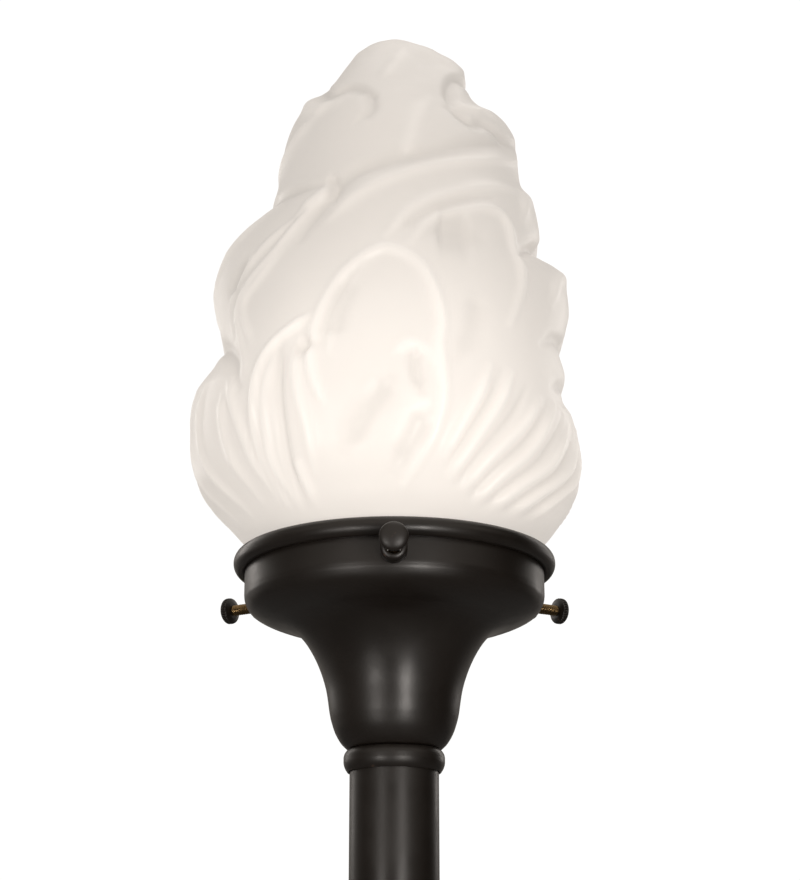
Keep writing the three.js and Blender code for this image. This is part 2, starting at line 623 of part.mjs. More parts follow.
function flameShade() {
  const sides = FACETS;
  const outerHeights = [0, FITTER_HEIGHT / SHADE_HEIGHT, 0.085, 0.107, 0.131, 0.16, 0.2, 0.26, 0.31,
    0.345, 0.38, 0.415, 0.455, 0.5, 0.545, 0.558, 0.585, 0.62, 0.66, 0.71, 0.76, 0.8, 0.83, 0.86,
    0.885, 0.92, 0.955, 0.985];
  const innerHeights = [0.965, 0.92, 0.87, 0.82, 0.74, 0.67, 0.6, 0.53, 0.46, 0.4, 0.33, 0.26, 0.19,
    0.15, 0.12, 0.09, FITTER_HEIGHT / SHADE_HEIGHT, 0];
  const rows = outerHeights.map((height) => flameRow(height, 0, sides));
  for (const height of innerHeights) rows.push(flameRow(height, GLASS_WALL, sides));
  const points = rows.flat();
  const outerCrown = points.push([CROWN_SHIFT, 0, SHADE_TOP]) - 1;
  const innerCrown = points.push([CROWN_SHIFT, 0, SHADE_TOP - CROWN_WALL]) - 1;
  const index = [];
  const last = outerHeights.length - 1;
  for (let row = 0; row < rows.length; row++) {
    const next = (row + 1) % rows.length;
    for (let i = 0; i < sides; i++) {
      const j = (i + 1) % sides;
      const [a, b, c, d] = [row * sides + i, row * sides + j, next * sides + j, next * sides + i];
      if (row === last) index.push(a, b, outerCrown, c, d, innerCrown);
      else index.push(a, b, c, a, c, d);
    }
  }
  const geometry = new THREE.BufferGeometry();
  geometry.setAttribute("position", new THREE.Float32BufferAttribute(points.flat(), 3));
  geometry.setIndex(index);
  piece("flame_shade", solidOf(geometry), opalGlass);
}

function shadeGasket() {
  const outer = FITTER_RADIUS + GAP;
  const inner = outer - GASKET_WIDTH;
  const side = bellSide(HOLDER_WALL);
  const top = SHADE_BOTTOM - GAP;
  const underside = (radius) => valueAt(side, radius) + 2 * GAP;
  const gasket = turned([
    [inner, Math.min(underside(inner), top - GASKET_LEAST)],
    [outer, Math.min(underside(outer), top - GASKET_LEAST)],
    [outer, top],
    [inner, top],
  ], GASKET_FACETS);
  piece("shade_gasket", gasket, rubber);
}

// ---- Lamp socket ----
function lampSocket() {
  const wall = SOCKET_SHELL_WALL;
  const cap = turned([
    [NIPPLE_HOLE, CAP_BOTTOM],
    [NIPPLE_RADIUS + CAP_COLLAR_WALL, CAP_BOTTOM],
    [NIPPLE_RADIUS + CAP_COLLAR_WALL, CAP_BOTTOM + CAP_COLLAR_HEIGHT],
    ...CAP_SHOULDER.map(([inside, up]) => [SOCKET_RADIUS - inside, CAP_BOTTOM + up]),
    [SOCKET_RADIUS, CAP_TOP],
    [SOCKET_RADIUS - wall, CAP_TOP],
    ...CAP_HOLLOW.map(([inside, up]) => [SOCKET_RADIUS - inside, CAP_BOTTOM + up]),
    [NIPPLE_HOLE, CAP_BOTTOM + CAP_FLOOR],
  ], MIDDLE_FACETS);
  piece("socket_cap", cap, brass);
  piece("socket_shell", turned([
    [SOCKET_RADIUS - wall, SHELL_BOTTOM],
    [SOCKET_RADIUS, SHELL_BOTTOM],
    [SOCKET_RADIUS, SHELL_TOP - SHELL_BEAD_HEIGHT],
    [SOCKET_RADIUS + SHELL_BEAD, SHELL_TOP - SHELL_BEAD_HEIGHT / 2],
    [SOCKET_RADIUS, SHELL_TOP],
    [SOCKET_RADIUS - wall, SHELL_TOP],
  ], MIDDLE_FACETS), brass);
  const linerOuter = SOCKET_RADIUS - wall - GAP;
  piece("socket_liner",
    ring(linerOuter - LINER_WALL, linerOuter, SHELL_BOTTOM + LINER_LIFT, SHELL_TOP + LINER_LIFT,
      MIDDLE_FACETS), fibre);
  const wireSlot = (side) =>
    solidOf(new THREE.BoxGeometry(
      TERMINAL_DEPTH + CUT_PAST, 2 * (TERMINAL_HEAD_RADIUS + 2 * GAP), SOCKET_BODY_HEIGHT + 2 * CUT_PAST)
      .translate(side * (SOCKET_BODY_RADIUS + (CUT_PAST - TERMINAL_DEPTH) / 2), 0, BODY_BOTTOM));
  const body = disc(SOCKET_BODY_RADIUS, BODY_BOTTOM, BODY_TOP, MIDDLE_FACETS)
    .subtract(wireSlot(1))
    .subtract(wireSlot(-1));
  piece("socket_body", body, porcelain);
  piece("centre_contact",
    disc(CONTACT_RADIUS, CONTACT_BOTTOM, CONTACT_BOTTOM + CONTACT_HEIGHT, SMALL_FACETS),
    brass);
  piece("socket_screw_shell",
    ring(SCREW_SHELL_RADIUS - SCREW_SHELL_WALL, SCREW_SHELL_RADIUS, BODY_TOP + GAP,
      BODY_TOP + GAP + SCREW_SHELL_HEIGHT, MIDDLE_FACETS), copper);
  for (const [name, side, material] of [["line_terminal", 1, brass], ["neutral_terminal", -1, steel]]) {
    const seat = SOCKET_BODY_RADIUS - TERMINAL_DEPTH + GAP;
    const section = TERMINAL_SECTION.map(([out, up]) => [TERMINAL_HEAD_RADIUS * out, seat + up]);
    const screw = turnedAlongX(section, TINY_FACETS);
    const mesh = piece(name, screw, material);
    mesh.rotation.z = side > 0 ? 0 : Math.PI;
    mesh.position.z = BODY_BOTTOM + TERMINAL_RISE;
  }
}

// ---- Leads from the cable inlet up the pole to the terminals ----
function leads() {
  const kinds = [["line_lead", 1, blackPlastic], ["neutral_lead", -1, whiteInsulation]];
  const beside = WIRE_RADIUS + GAP;
  const apart = beside + 0.2;
  for (const [name, side, material] of kinds) {
    const route = [
      [beside, POLE_RADIUS - 3.5, INLET_HEIGHT],
      [beside, 6, INLET_HEIGHT + 0.6],
      [beside, 2.6, INLET_HEIGHT + 3.4],
      [beside + 0.1, 0.8, INLET_HEIGHT + 9],
      [apart, 0, INLET_HEIGHT + 18],
      [apart, 0, POLE_TOP - BUSHING_HEIGHT],
      [apart, 0, NIPPLE_TOP + 1.2],
      [apart + 0.6, 0, NIPPLE_TOP + 2.6],
      [apart + 2.5, 0, NIPPLE_TOP + 3.7],
      [9, 0, BODY_BOTTOM - 2],
    ].map(([x, y, z]) => new THREE.Vector3(side * x, y, z));
    piece(name, bentBar(route, WIRE_RADIUS, WIRE_SIDES), material);
  }
}

// ---- Bulb ----
function bulb() {
  const bottom = BULB_CONTACT_Z;
  const insulatorBottom = bottom + TIP_HEIGHT + GAP;
  const baseBottom = insulatorBottom + INSULATOR_HEIGHT + GAP + 0.2;
  const baseTop = baseBottom + BULB_BASE_HEIGHT;
  const glassBottom = baseTop - GLASS_IN_BASE;
  const crown = bottom + BULB_LENGTH;
  const middle = crown - BULB_RADIUS;
  const neckRadius = BULB_BASE_RADIUS - BULB_BASE_WALL - GAP;
  piece("bulb_tip_contact", disc(TIP_RADIUS, bottom, bottom + TIP_HEIGHT, SMALL_FACETS), steel);
  piece("bulb_insulator", turned([
    [0, insulatorBottom],
    [INSULATOR_FOOT, insulatorBottom],
    [BULB_BASE_RADIUS - 3.6, insulatorBottom + INSULATOR_HEIGHT],
    [0, insulatorBottom + INSULATOR_HEIGHT],
  ], MIDDLE_FACETS), blackPlastic);
  piece("bulb_base", turned([
    [BULB_BASE_RADIUS - 4, baseBottom],
    [BULB_BASE_RADIUS - 1.6, baseBottom],
    [BULB_BASE_RADIUS, baseBottom + 3],
    [BULB_BASE_RADIUS, baseTop],
    [BULB_BASE_RADIUS - BULB_BASE_WALL, baseTop],
    [BULB_BASE_RADIUS - BULB_BASE_WALL, baseBottom + 3.4],
    [BULB_BASE_RADIUS - 4, baseBottom + 0.8],
  ], MIDDLE_FACETS), steel);
  const outerProfile = [[neckRadius, glassBottom], [neckRadius + 0.5, baseTop + GAP + 4]];
  for (const [part, reach] of BULB_SIDE) {
    outerProfile.push([BULB_RADIUS * reach, baseTop + 3 + (middle - baseTop - 3) * part]);
  }
  for (let i = 1; i <= CROWN_STEPS; i++) {
    const turn = (Math.PI / 2) * (i / CROWN_STEPS);
    const reach = i < CROWN_STEPS ? BULB_RADIUS * Math.cos(turn) : 0;
    outerProfile.push([reach, middle + BULB_RADIUS * Math.sin(turn)]);
  }
  const innerProfile = outerProfile.slice(0, -1).map(([r, z], i) => {
    const lift = z > middle ? ((z - middle) / BULB_RADIUS) * BULB_WALL : 0;
    return [r - BULB_WALL, i ? z - lift : z];
  });
  innerProfile.push([0, crown - BULB_WALL]);
  piece("bulb_glass", turned([...outerProfile, ...innerProfile.reverse()], MIDDLE_FACETS), frostedGlass);
  const stemTop = baseTop + STEM_HEIGHT;
  piece("bulb_stem", turned([
    [0, glassBottom + 1],
    [neckRadius - BULB_WALL - GAP, glassBottom + 1],
    [neckRadius - BULB_WALL - GAP, glassBottom + 2.4],
    [4, glassBottom + 9],
    [2.4, stemTop],
    [0, stemTop],
  ], SMALL_FACETS), clearGlass);
  const filamentZ = stemTop + FILAMENT_RISE;
  const filamentRoute = [-1, -0.6, -0.2, 0.2, 0.6, 1].map((part) =>
    new THREE.Vector3(part * FILAMENT_REACH, 0, filamentZ - FILAMENT_SAG * Math.cos((part * Math.PI) / 2)));
  piece("bulb_filament", bentBar(filamentRoute, FILAMENT_RADIUS, THIN_SIDES), tungsten);
  for (const [name, side] of [["left_filament_support", -1], ["right_filament_support", 1]]) {
    const route = [
      new THREE.Vector3(side * 3.9, 0, glassBottom + 16),
      new THREE.Vector3(side * 4.4, 0, stemTop),
      new THREE.Vector3(side * (FILAMENT_REACH + 0.9), 0, filamentZ - 1.4),
    ];
    piece(name, bentBar(route, SUPPORT_RADIUS, THIN_SIDES), steel);
  }
}

groundStake();
poleClampScrew();
poleTube();
cableGrommet();
neck();
shadeHolder();
for (const [side, azimuth] of Object.entries(SCREW_AZIMUTHS)) thumbscrewSet(side, azimuth);
shadeGasket();
flameShade();
lampSocket();
leads();
bulb();

export default root;
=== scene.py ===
"""Garden torch with a flame-shaped glass shade: the finished look of every piece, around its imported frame.

Outlines are written in millimetres as (radius, height) points and turned into metres when a mesh is made.
"""
import json
import math

import bmesh
import bpy
import numpy as np
from bpy.props import FloatProperty, FloatVectorProperty, IntProperty, PointerProperty
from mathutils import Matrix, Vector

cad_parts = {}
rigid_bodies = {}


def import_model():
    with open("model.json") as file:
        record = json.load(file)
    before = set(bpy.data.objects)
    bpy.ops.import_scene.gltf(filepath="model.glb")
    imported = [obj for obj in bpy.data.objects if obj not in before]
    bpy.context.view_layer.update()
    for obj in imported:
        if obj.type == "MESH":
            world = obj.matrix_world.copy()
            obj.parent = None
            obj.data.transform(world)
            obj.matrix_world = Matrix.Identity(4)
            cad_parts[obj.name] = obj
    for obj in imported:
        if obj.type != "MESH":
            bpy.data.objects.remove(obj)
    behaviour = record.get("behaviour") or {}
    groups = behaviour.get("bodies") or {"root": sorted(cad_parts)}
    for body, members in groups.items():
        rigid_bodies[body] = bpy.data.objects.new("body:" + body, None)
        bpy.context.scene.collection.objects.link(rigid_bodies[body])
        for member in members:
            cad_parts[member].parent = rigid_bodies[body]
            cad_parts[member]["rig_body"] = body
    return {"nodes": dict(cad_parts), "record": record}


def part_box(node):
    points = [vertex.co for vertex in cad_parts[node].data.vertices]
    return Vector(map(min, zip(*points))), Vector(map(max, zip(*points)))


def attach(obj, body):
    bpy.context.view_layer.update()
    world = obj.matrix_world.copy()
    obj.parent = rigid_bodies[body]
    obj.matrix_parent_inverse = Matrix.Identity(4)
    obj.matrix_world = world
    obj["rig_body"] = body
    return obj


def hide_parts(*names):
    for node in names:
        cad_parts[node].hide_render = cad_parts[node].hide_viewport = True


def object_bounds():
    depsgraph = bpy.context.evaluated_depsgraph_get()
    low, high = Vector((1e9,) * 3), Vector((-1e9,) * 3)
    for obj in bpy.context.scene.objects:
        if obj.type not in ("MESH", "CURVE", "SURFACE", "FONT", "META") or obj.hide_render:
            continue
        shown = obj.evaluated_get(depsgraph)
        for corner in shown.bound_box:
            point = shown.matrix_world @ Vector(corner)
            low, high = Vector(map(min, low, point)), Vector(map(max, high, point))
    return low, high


bl_info = {
    "name": "Garden Torch",
    "version": (1, 0, 0),
    "blender": (4, 5, 0),
    "location": "3D Viewport > Sidebar > Torch",
    "description": "Builds a garden torch with a flame-shaped glass shade, piece by piece",
    "category": "Object",
}

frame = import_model()
frame_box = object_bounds()

MM = 0.001
MERGE_DISTANCE = 1e-7  # metres within which two points of a mesh are one
SIDES = ("front", "right", "left")


# ---- Places and sizes taken from the frame ----
def span(node):
    """A node's lowest and highest corners in millimetres."""
    low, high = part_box(node)
    return np.array(low) / MM, np.array(high) / MM


def levels(node):
    """A node's lowest and highest level in millimetres."""
    low, high = span(node)
    return low[2], high[2]


def middle_level(node):
    low, high = levels(node)
    return (low + high) / 2


def half_width(node):
    """The radius of a node that is round about the Z axis."""
    low, high = span(node)
    return max(high[0], high[1], -low[0], -low[1])


# ---- Outlines ----
def rounded(points, fillet=0.3, steps=3, closed=False):
    """An outline whose corners become small curves. A point may give its own fillet as a third value."""
    count = len(points)
    places = [np.array(point[:2], float) for point in points]
    result = []
    for i in range(count):
        if not closed and i in (0, count - 1):
            result.append(places[i])
            continue
        here = places[i]
        arm_in = places[i - 1] - here
        arm_out = places[(i + 1) % count] - here
        length_in = np.linalg.norm(arm_in)
        length_out = np.linalg.norm(arm_out)
        size = points[i][2] if len(points[i]) > 2 else fillet
        reach = min(size, 0.45 * length_in, 0.45 * length_out)
        if reach < 1e-3:
            result.append(here)
            continue
        start = here + arm_in / length_in * reach
        end = here + arm_out / length_out * reach
        for step in range(steps + 1):
            t = step / steps
            result.append((1 - t) ** 2 * start + 2 * t * (1 - t) * here + t * t * end)
    return np.array(result)


def smooth_value(points, at):
    """Values at the given places from (place, value) points, along a curve that never overshoots them."""
    x = np.array([point[0] for point in points], float)
    y = np.array([point[1] for point in points], float)
    step = np.diff(x)
    slope = np.diff(y) / step
    tangent = np.zeros_like(x)
    tangent[0], tangent[-1] = slope[0], slope[-1]
    same = slope[:-1] * slope[1:] > 0
    total = np.where(same, slope[:-1] + slope[1:], 1.0)
    tangent[1:-1] = np.where(same, 2 * slope[:-1] * slope[1:] / total, 0.0)
    at = np.clip(np.asarray(at, float), x[0], x[-1])
    i = np.clip(np.searchsorted(x, at, side="right") - 1, 0, len(step) - 1)
    t = (at - x[i]) / step[i]
    rise = (2 * t ** 3 - 3 * t ** 2 + 1) * y[i] + (3 * t ** 2 - 2 * t ** 3) * y[i + 1]
    lean = (t ** 3 - 2 * t ** 2 + t) * tangent[i] + (t ** 3 - t ** 2) * tangent[i + 1]
    return rise + lean * step[i]


def smooth_path(points, steps):
    """A curve through the points, each stretch cut into the same number of steps."""
    points = np.array(points, float)
    padded = np.vstack([2 * points[0] - points[1], points, 2 * points[-1] - points[-2]])
    result = []
    for i in range(len(points) - 1):
        before, start, end, after = padded[i : i + 4]
        for step in range(steps):
            t = step / steps
            result.append(0.5 * (2 * start + (end - before) * t
                                 + (2 * before - 5 * start + 4 * end - after) * t ** 2
                                 + (3 * start - before - 3 * end + after) * t ** 3))
    result.append(points[-1])
    return np.array(result)


def blend_step(value, low, high):
    t = np.clip((value - low) / (high - low), 0, 1)
    return t * t * (3 - 2 * t)


# ---- Meshes ----
def grid_faces(rows, columns, wrap_rows=False):
    """Quads between rows of points that each close on themselves."""
    row = np.arange(rows if wrap_rows else rows - 1)[:, None] * columns
    column = np.arange(columns)[None, :]
    after = (column + 1) % columns
    above = (row + columns) % (rows * columns)
    corners = np.broadcast_arrays(row + column, row + after, above + after, above + column)
    return np.stack(corners, axis=-1).reshape(-1, 4).tolist()


def lathe(outline, sides, closed=False, shape=None):
    """Points and quads of a solid of revolution about Z. shape(radius, height, turn) can vary it."""
    outline = np.asarray(outline, float)
    turn = 2 * math.pi * np.arange(sides)[None, :] / sides
    radius = np.repeat(outline[:, :1], sides, axis=1)
    height = np.repeat(outline[:, 1:], sides, axis=1)
    if shape is not None:
        radius = np.where(radius > 0, shape(radius, height, turn + 0 * radius), radius)
    points = np.stack([radius * np.cos(turn), radius * np.sin(turn), height], axis=-1)
    return points.reshape(-1, 3), grid_faces(len(outline), sides, closed)


def swept(route, radius, sides):
    """Points and faces of a round bar along a route, with flat ends."""
    route = np.asarray(route, float)
    along = np.gradient(route, axis=0)
    along /= np.linalg.norm(along, axis=1)[:, None]
    normal = np.cross(along[0], [0.3, 1.0, 0.2])
    turn = 2 * math.pi * np.arange(sides) / sides
    rows = []
    for centre, direction in zip(route, along):
        normal = normal - direction * normal.dot(direction)
        normal /= np.linalg.norm(normal)
        across = np.cross(direction, normal)
        around = np.outer(np.cos(turn), normal) + np.outer(np.sin(turn), across)
        rows.append(centre + radius * around)
    points = np.vstack(rows)
    last = len(points) - sides
    ends = [list(range(sides))[::-1], list(range(last, last + sides))]
    return points, grid_faces(len(route), sides) + ends


def turned_to(points, azimuth, height):
    """Points of a piece made about Z, laid along the outward direction at an azimuth and a height."""
    points = np.asarray(points, float)
    angle = math.radians(azimuth)
    out = points[:, 2]
    across = points[:, 0]
    return np.stack([
        out * math.cos(angle) - across * math.sin(angle),
        out * math.sin(angle) + across * math.cos(angle),
        height + points[:, 1],
    ], axis=1)


def outward_lathe(outline, sides, azimuth, height, **options):
    """A solid of revolution whose axis points straight out from the torch at an azimuth and a height."""
    points, faces = lathe(outline, sides, **options)
    return turned_to(points, azimuth, height), faces


def cross_bar(radius, start, end, azimuth, height, sides=32):
    """A plain round bar that points straight out, for cutting a hole."""
    return outward_lathe([(0, start), (radius, start), (radius, end), (0, end)], sides, azimuth, height)


def block(low, high):
    """Points and faces of a straight block."""
    across, along, up = zip(low, high)
    points = [[x, y, z] for x in across for y in along for z in up]
    faces = [[0, 1, 3, 2], [4, 6, 7, 5], [0, 4, 5, 1], [2, 3, 7, 6], [0, 2, 6, 4], [1, 5, 7, 3]]
    return np.array(points, float), faces


def shade_smooth(mesh, sharp_angle=None):
    """Smooth shading, with edges left sharp where they bend by more than an angle."""
    mesh.polygons.foreach_set("use_smooth", [True] * len(mesh.polygons))
    if sharp_angle is not None:
        mesh.set_sharp_from_angle(angle=math.radians(sharp_angle))


def clean_up(mesh):
    """Merges the points that lie on one another and turns the faces outwards."""
    body = bmesh.new()
    body.from_mesh(mesh)
    bmesh.ops.remove_doubles(body, verts=body.verts, dist=MERGE_DISTANCE)
    bmesh.ops.recalc_face_normals(body, faces=body.faces)
    body.to_mesh(mesh)
    body.free()


def make_object(name, solid, sharp_angle=38):
    """A smooth-shaded object from points in millimetres, its faces turned outwards."""
    points, faces = solid
    mesh = bpy.data.meshes.new(name)
    mesh.from_pydata((np.asarray(points) * MM).tolist(), [], faces)
    clean_up(mesh)
    shade_smooth(mesh, sharp_angle)
    piece = bpy.data.objects.new(name, mesh)
    bpy.context.scene.collection.objects.link(piece)
    return piece


def apply_modifiers(piece):
    """Gives a piece the mesh that its modifiers make, and takes them off."""
    bpy.context.view_layer.update()
    graph = bpy.context.evaluated_depsgraph_get()
    mesh = bpy.data.meshes.new_from_object(piece.evaluated_get(graph))
    piece.modifiers.clear()
    piece.data = mesh


def cut(piece, *tools, operation="DIFFERENCE"):
    """Cuts the tools' solids out of the piece, or joins them to it with operation="UNION"."""
    for number, tool in enumerate(tools):
        helper = make_object(f"{piece.name}_tool_{number}", tool)
        modifier = piece.modifiers.new("cut", "BOOLEAN")
        modifier.operation = operation
        modifier.solver = "EXACT"
        modifier.object = helper
        apply_modifiers(piece)
        bpy.data.objects.remove(helper)


def soften(piece, width, segments=2, angle=35):
    """Small rounded edges on a piece with hard corners."""
    modifier = piece.modifiers.new("soft edges", "BEVEL")
    modifier.width = width * MM
    modifier.segments = segments
    modifier.limit_method = "ANGLE"
    modifier.angle_limit = math.radians(angle)
    modifier.harden_normals = True
    apply_modifiers(piece)


def body_of(node):
    return frame["nodes"][node]["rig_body"]


def slot_of(node):
    for part in frame["record"]["subparts"]:
        if part["node"] == node:
            return part["material_slot"]
    raise RuntimeError(f"no material slot is recorded for {node}")


def place(piece, node, slot=None, stands_for=True):
    """Gives a piece its finish and its body, and hides the plain node that it stands for."""
    slot = slot or slot_of(node)
    piece.data.materials.clear()
    piece.data.materials.append(FINISHES[slot]())
    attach(piece, body_of(node))
    if stands_for:
        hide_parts(node)
    return piece


# ---- Shader node groups that several finishes share ----
def node_group(name, inputs, outputs):
    tree = bpy.data.node_groups.new(name, "ShaderNodeTree")
    for label, kind, value in inputs:
        socket = tree.interface.new_socket(label, in_out="INPUT", socket_type=kind)
        socket.default_value = value
    for label, kind in outputs:
        tree.interface.new_socket(label, in_out="OUTPUT", socket_type=kind)
    return tree, tree.nodes.new("NodeGroupInput"), tree.nodes.new("NodeGroupOutput")


def maths(tree, operation, first, second=None, clamp=False):
    """A Math node. Each of its two values is a number or another node's output."""
    node = tree.nodes.new("ShaderNodeMath")
    node.operation = operation
    node.use_clamp = clamp
    for socket, value in zip(node.inputs, (first, second)):
        if value is None:
            continue
        if isinstance(value, (int, float)):
            socket.default_value = value
        else:
            tree.links.new(value, socket)
    return node.outputs[0]


def ramp(tree, value, low, high, start=0.0, end=1.0):
    """A smooth Map Range node."""
    node = tree.nodes.new("ShaderNodeMapRange")
    node.interpolation_type = "SMOOTHSTEP"
    tree.links.new(value, node.inputs["Value"])
    for label, number in (("From Min", low), ("From Max", high), ("To Min", start), ("To Max", end)):
        if isinstance(number, (int, float)):
            node.inputs[label].default_value = number
        else:
            tree.links.new(number, node.inputs[label])
    return node.outputs["Result"]


def noise(tree, scale, detail=3.0, roughness=0.5, stretch=None):
    coordinates = tree.nodes.new("ShaderNodeTexCoord").outputs["Object"]
    if stretch is not None:
        mapping = tree.nodes.new("ShaderNodeMapping")
        mapping.inputs["Scale"].default_value = stretch
        tree.links.new(coordinates, mapping.inputs["Vector"])
        coordinates = mapping.outputs["Vector"]
    node = tree.nodes.new("ShaderNodeTexNoise")
    tree.links.new(coordinates, node.inputs["Vector"])
    if isinstance(scale, (int, float)):
        node.inputs["Scale"].default_value = scale
    else:
        tree.links.new(scale, node.inputs["Scale"])
    node.inputs["Detail"].default_value = detail
    node.inputs["Roughness"].default_value = roughness
    return node.outputs["Fac"]


def mixed(tree, factor, first, second):
    """A colour Mix node whose colours are given or come from other nodes."""
    node = tree.nodes.new("ShaderNodeMix")
    node.data_type = "RGBA"
    tree.links.new(factor, node.inputs["Factor"])
    sockets = [socket for socket in node.inputs if socket.type == "RGBA"]
    for socket, value in zip(sockets, (first, second)):
        if isinstance(value, bpy.types.NodeSocket):
            tree.links.new(value, socket)
        else:
            socket.default_value = (*value[:3], 1.0)
    return [socket for socket in node.outputs if socket.type == "RGBA"][0]


def shared_group(name, build):
    return bpy.data.node_groups.get(name) or build(name)


def build_grain(name):
    """Fine grain for a bump, and a slow blotch for gloss."""
    tree, given, out = node_group(
        name,
        [("Grain Scale", "NodeSocketFloat", 2500.0), ("Blotch Scale", "NodeSocketFloat", 40.0)],
        [("Grain", "NodeSocketFloat"), ("Blotch", "NodeSocketFloat")],
    )
    grain = noise(tree, given.outputs["Grain Scale"], 4.0, 0.6)
    blotch = noise(tree, given.outputs["Blotch Scale"], 5.0, 0.62)
    tree.links.new(grain, out.inputs["Grain"])
    tree.links.new(ramp(tree, blotch, 0.32, 0.68), out.inputs["Blotch"])
    return tree


def build_wear(name):
    """Where edges are rubbed: the sharp convex edges, broken up by noise."""
    tree, given, out = node_group(
        name,
        [("Edge Start", "NodeSocketFloat", 0.52), ("Edge End", "NodeSocketFloat", 0.6),
         ("Break Up", "NodeSocketFloat", 320.0)],
        [("Mask", "NodeSocketFloat")],
    )
    pointiness = tree.nodes.new("ShaderNodeNewGeometry").outputs["Pointiness"]
    edge = ramp(tree, pointiness, given.outputs["Edge Start"], given.outputs["Edge End"])
    patchy = ramp(tree, noise(tree, given.outputs["Break Up"], 4.0, 0.65), 0.4, 0.62)
    tree.links.new(maths(tree, "MULTIPLY", edge, patchy, clamp=True), out.inputs["Mask"])
    return tree


def build_dust(name):
    """Where dust settles: faces that look up, thicker in patches."""
    tree, given, out = node_group(
        name,
        [("Amount", "NodeSocketFloat", 0.3), ("Patch Scale", "NodeSocketFloat", 120.0)],
        [("Mask", "NodeSocketFloat")],
    )
    normal = tree.nodes.new("ShaderNodeNewGeometry").outputs["Normal"]
    split = tree.nodes.new("ShaderNodeSeparateXYZ")
    tree.links.new(normal, split.inputs["Vector"])
    facing_up = ramp(tree, split.outputs["Z"], 0.2, 0.95)
    patchy = ramp(tree, noise(tree, given.outputs["Patch Scale"], 6.0, 0.7), 0.35, 0.7)
    settled = maths(tree, "MULTIPLY", facing_up, patchy)
    mask = maths(tree, "MULTIPLY", settled, given.outputs["Amount"], clamp=True)
    tree.links.new(mask, out.inputs["Mask"])
    return tree


def build_tint(name):
    """One colour drifting into another over the surface."""
    tree, given, out = node_group(
        name,
        [("First", "NodeSocketColor", (0.5, 0.5, 0.5, 1.0)),
         ("Second", "NodeSocketColor", (0.4, 0.4, 0.4, 1.0)),
         ("Drift Scale", "NodeSocketFloat", 30.0)],
        [("Colour", "NodeSocketColor")],
    )
    drift = ramp(tree, noise(tree, given.outputs["Drift Scale"], 5.0, 0.6), 0.3, 0.7)
    colour = mixed(tree, drift, given.outputs["First"], given.outputs["Second"])
    tree.links.new(colour, out.inputs["Colour"])
    return tree


def use_group(tree, name, build, **values):
    """Places a shared group in a material with that material's own values."""
    node = tree.nodes.new("ShaderNodeGroup")
    node.node_tree = shared_group(name, build)
    for label, value in values.items():
        socket = node.inputs[label.replace("_", " ").title()]
        socket.default_value = (*value[:3], 1.0) if socket.type == "RGBA" else value
    return node


# ---- Finishes ----
DUST_COLOUR = (0.32, 0.28, 0.23)
GRAIN_DEPTH = 0.0002  # metres
# How strong the painted light in the glass is: painted shade in its folds and painted highlight on its
# ridges, then the painted glow far from the bulb and beside it.
FOLD_SHADES = (0.78, 1.12)
GLOW_SHADES = (1.06, 1.5)


def settings():
    return bpy.context.scene.torch_colours


def toned(colour, share):
    """A colour made lighter, or darker where the share is below one."""
    return tuple(channel * share for channel in colour)


def grain_bump(tree, grain, shader, strength):
    """Lets the fine grain stand out a little from a finish."""
    relief = tree.nodes.new("ShaderNodeBump")
    relief.inputs["Strength"].default_value = strength
    relief.inputs["Distance"].default_value = GRAIN_DEPTH
    tree.links.new(grain.outputs["Grain"], relief.inputs["Height"])
    tree.links.new(relief.outputs["Normal"], shader.inputs["Normal"])


def finish_material(name, first, second, *, roughness, metallic=0.0, rough_drift=0.08, bump=0.08,
                    grain_scale=2500.0, wear=None, wear_edge=(0.53, 0.6), dust=0.0, drift_scale=30.0,
                    **sockets):
    """A painted, moulded or metal finish: drifting colour, fine grain, rubbed edges and a little dust."""
    known = bpy.data.materials.get(name)
    if known:
        return known
    material = bpy.data.materials.new(name)
    material.use_nodes = True
    tree = material.node_tree
    shader = tree.nodes["Principled BSDF"]
    tint = use_group(tree, "Drifting tint", build_tint, first=first, second=second, drift_scale=drift_scale)
    grain = use_group(tree, "Grain and blotch", build_grain, grain_scale=grain_scale,
                      blotch_scale=drift_scale * 2)
    colour = tint.outputs["Colour"]
    if wear is not None:
        start, end = wear_edge
        rubbed = use_group(tree, "Rubbed edges", build_wear, edge_start=start, edge_end=end)
        colour = mixed(tree, rubbed.outputs["Mask"], colour, wear)
    if dust:
        settled = use_group(tree, "Settled dust", build_dust, amount=dust)
        colour = mixed(tree, settled.outputs["Mask"], colour, DUST_COLOUR)
    tree.links.new(colour, shader.inputs["Base Color"])
    gloss = ramp(tree, grain.outputs["Blotch"], 0.0, 1.0, roughness - rough_drift, roughness + rough_drift)
    tree.links.new(gloss, shader.inputs["Roughness"])
    grain_bump(tree, grain, shader, bump)
    shader.inputs["Metallic"].default_value = metallic
    for label, value in sockets.items():
        shader.inputs[label.replace("_", " ").title()].default_value = value
    return material


def dark_bronze():
    colour = settings().bronze
    return finish_material("Dark bronze paint", colour, toned(colour, 1.4), roughness=0.38, metallic=0.0,
                           rough_drift=0.04, bump=0.07, grain_scale=1500.0, wear=(0.09, 0.055, 0.035),
                           wear_edge=(0.56, 0.68), dust=0.04, drift_scale=22.0)


def brass():
    colour = settings().brass
    return finish_material("Aged brass", colour, toned(colour, 0.62), roughness=0.3, metallic=1.0,
                           bump=0.05, wear=(0.55, 0.4, 0.2), dust=0.1, drift_scale=60.0)


def steel():
    return finish_material("Zinc-plated steel", (0.55, 0.55, 0.54), (0.42, 0.44, 0.46), roughness=0.34,
                           metallic=1.0, bump=0.06, wear=(0.75, 0.75, 0.74), dust=0.1, drift_scale=80.0)


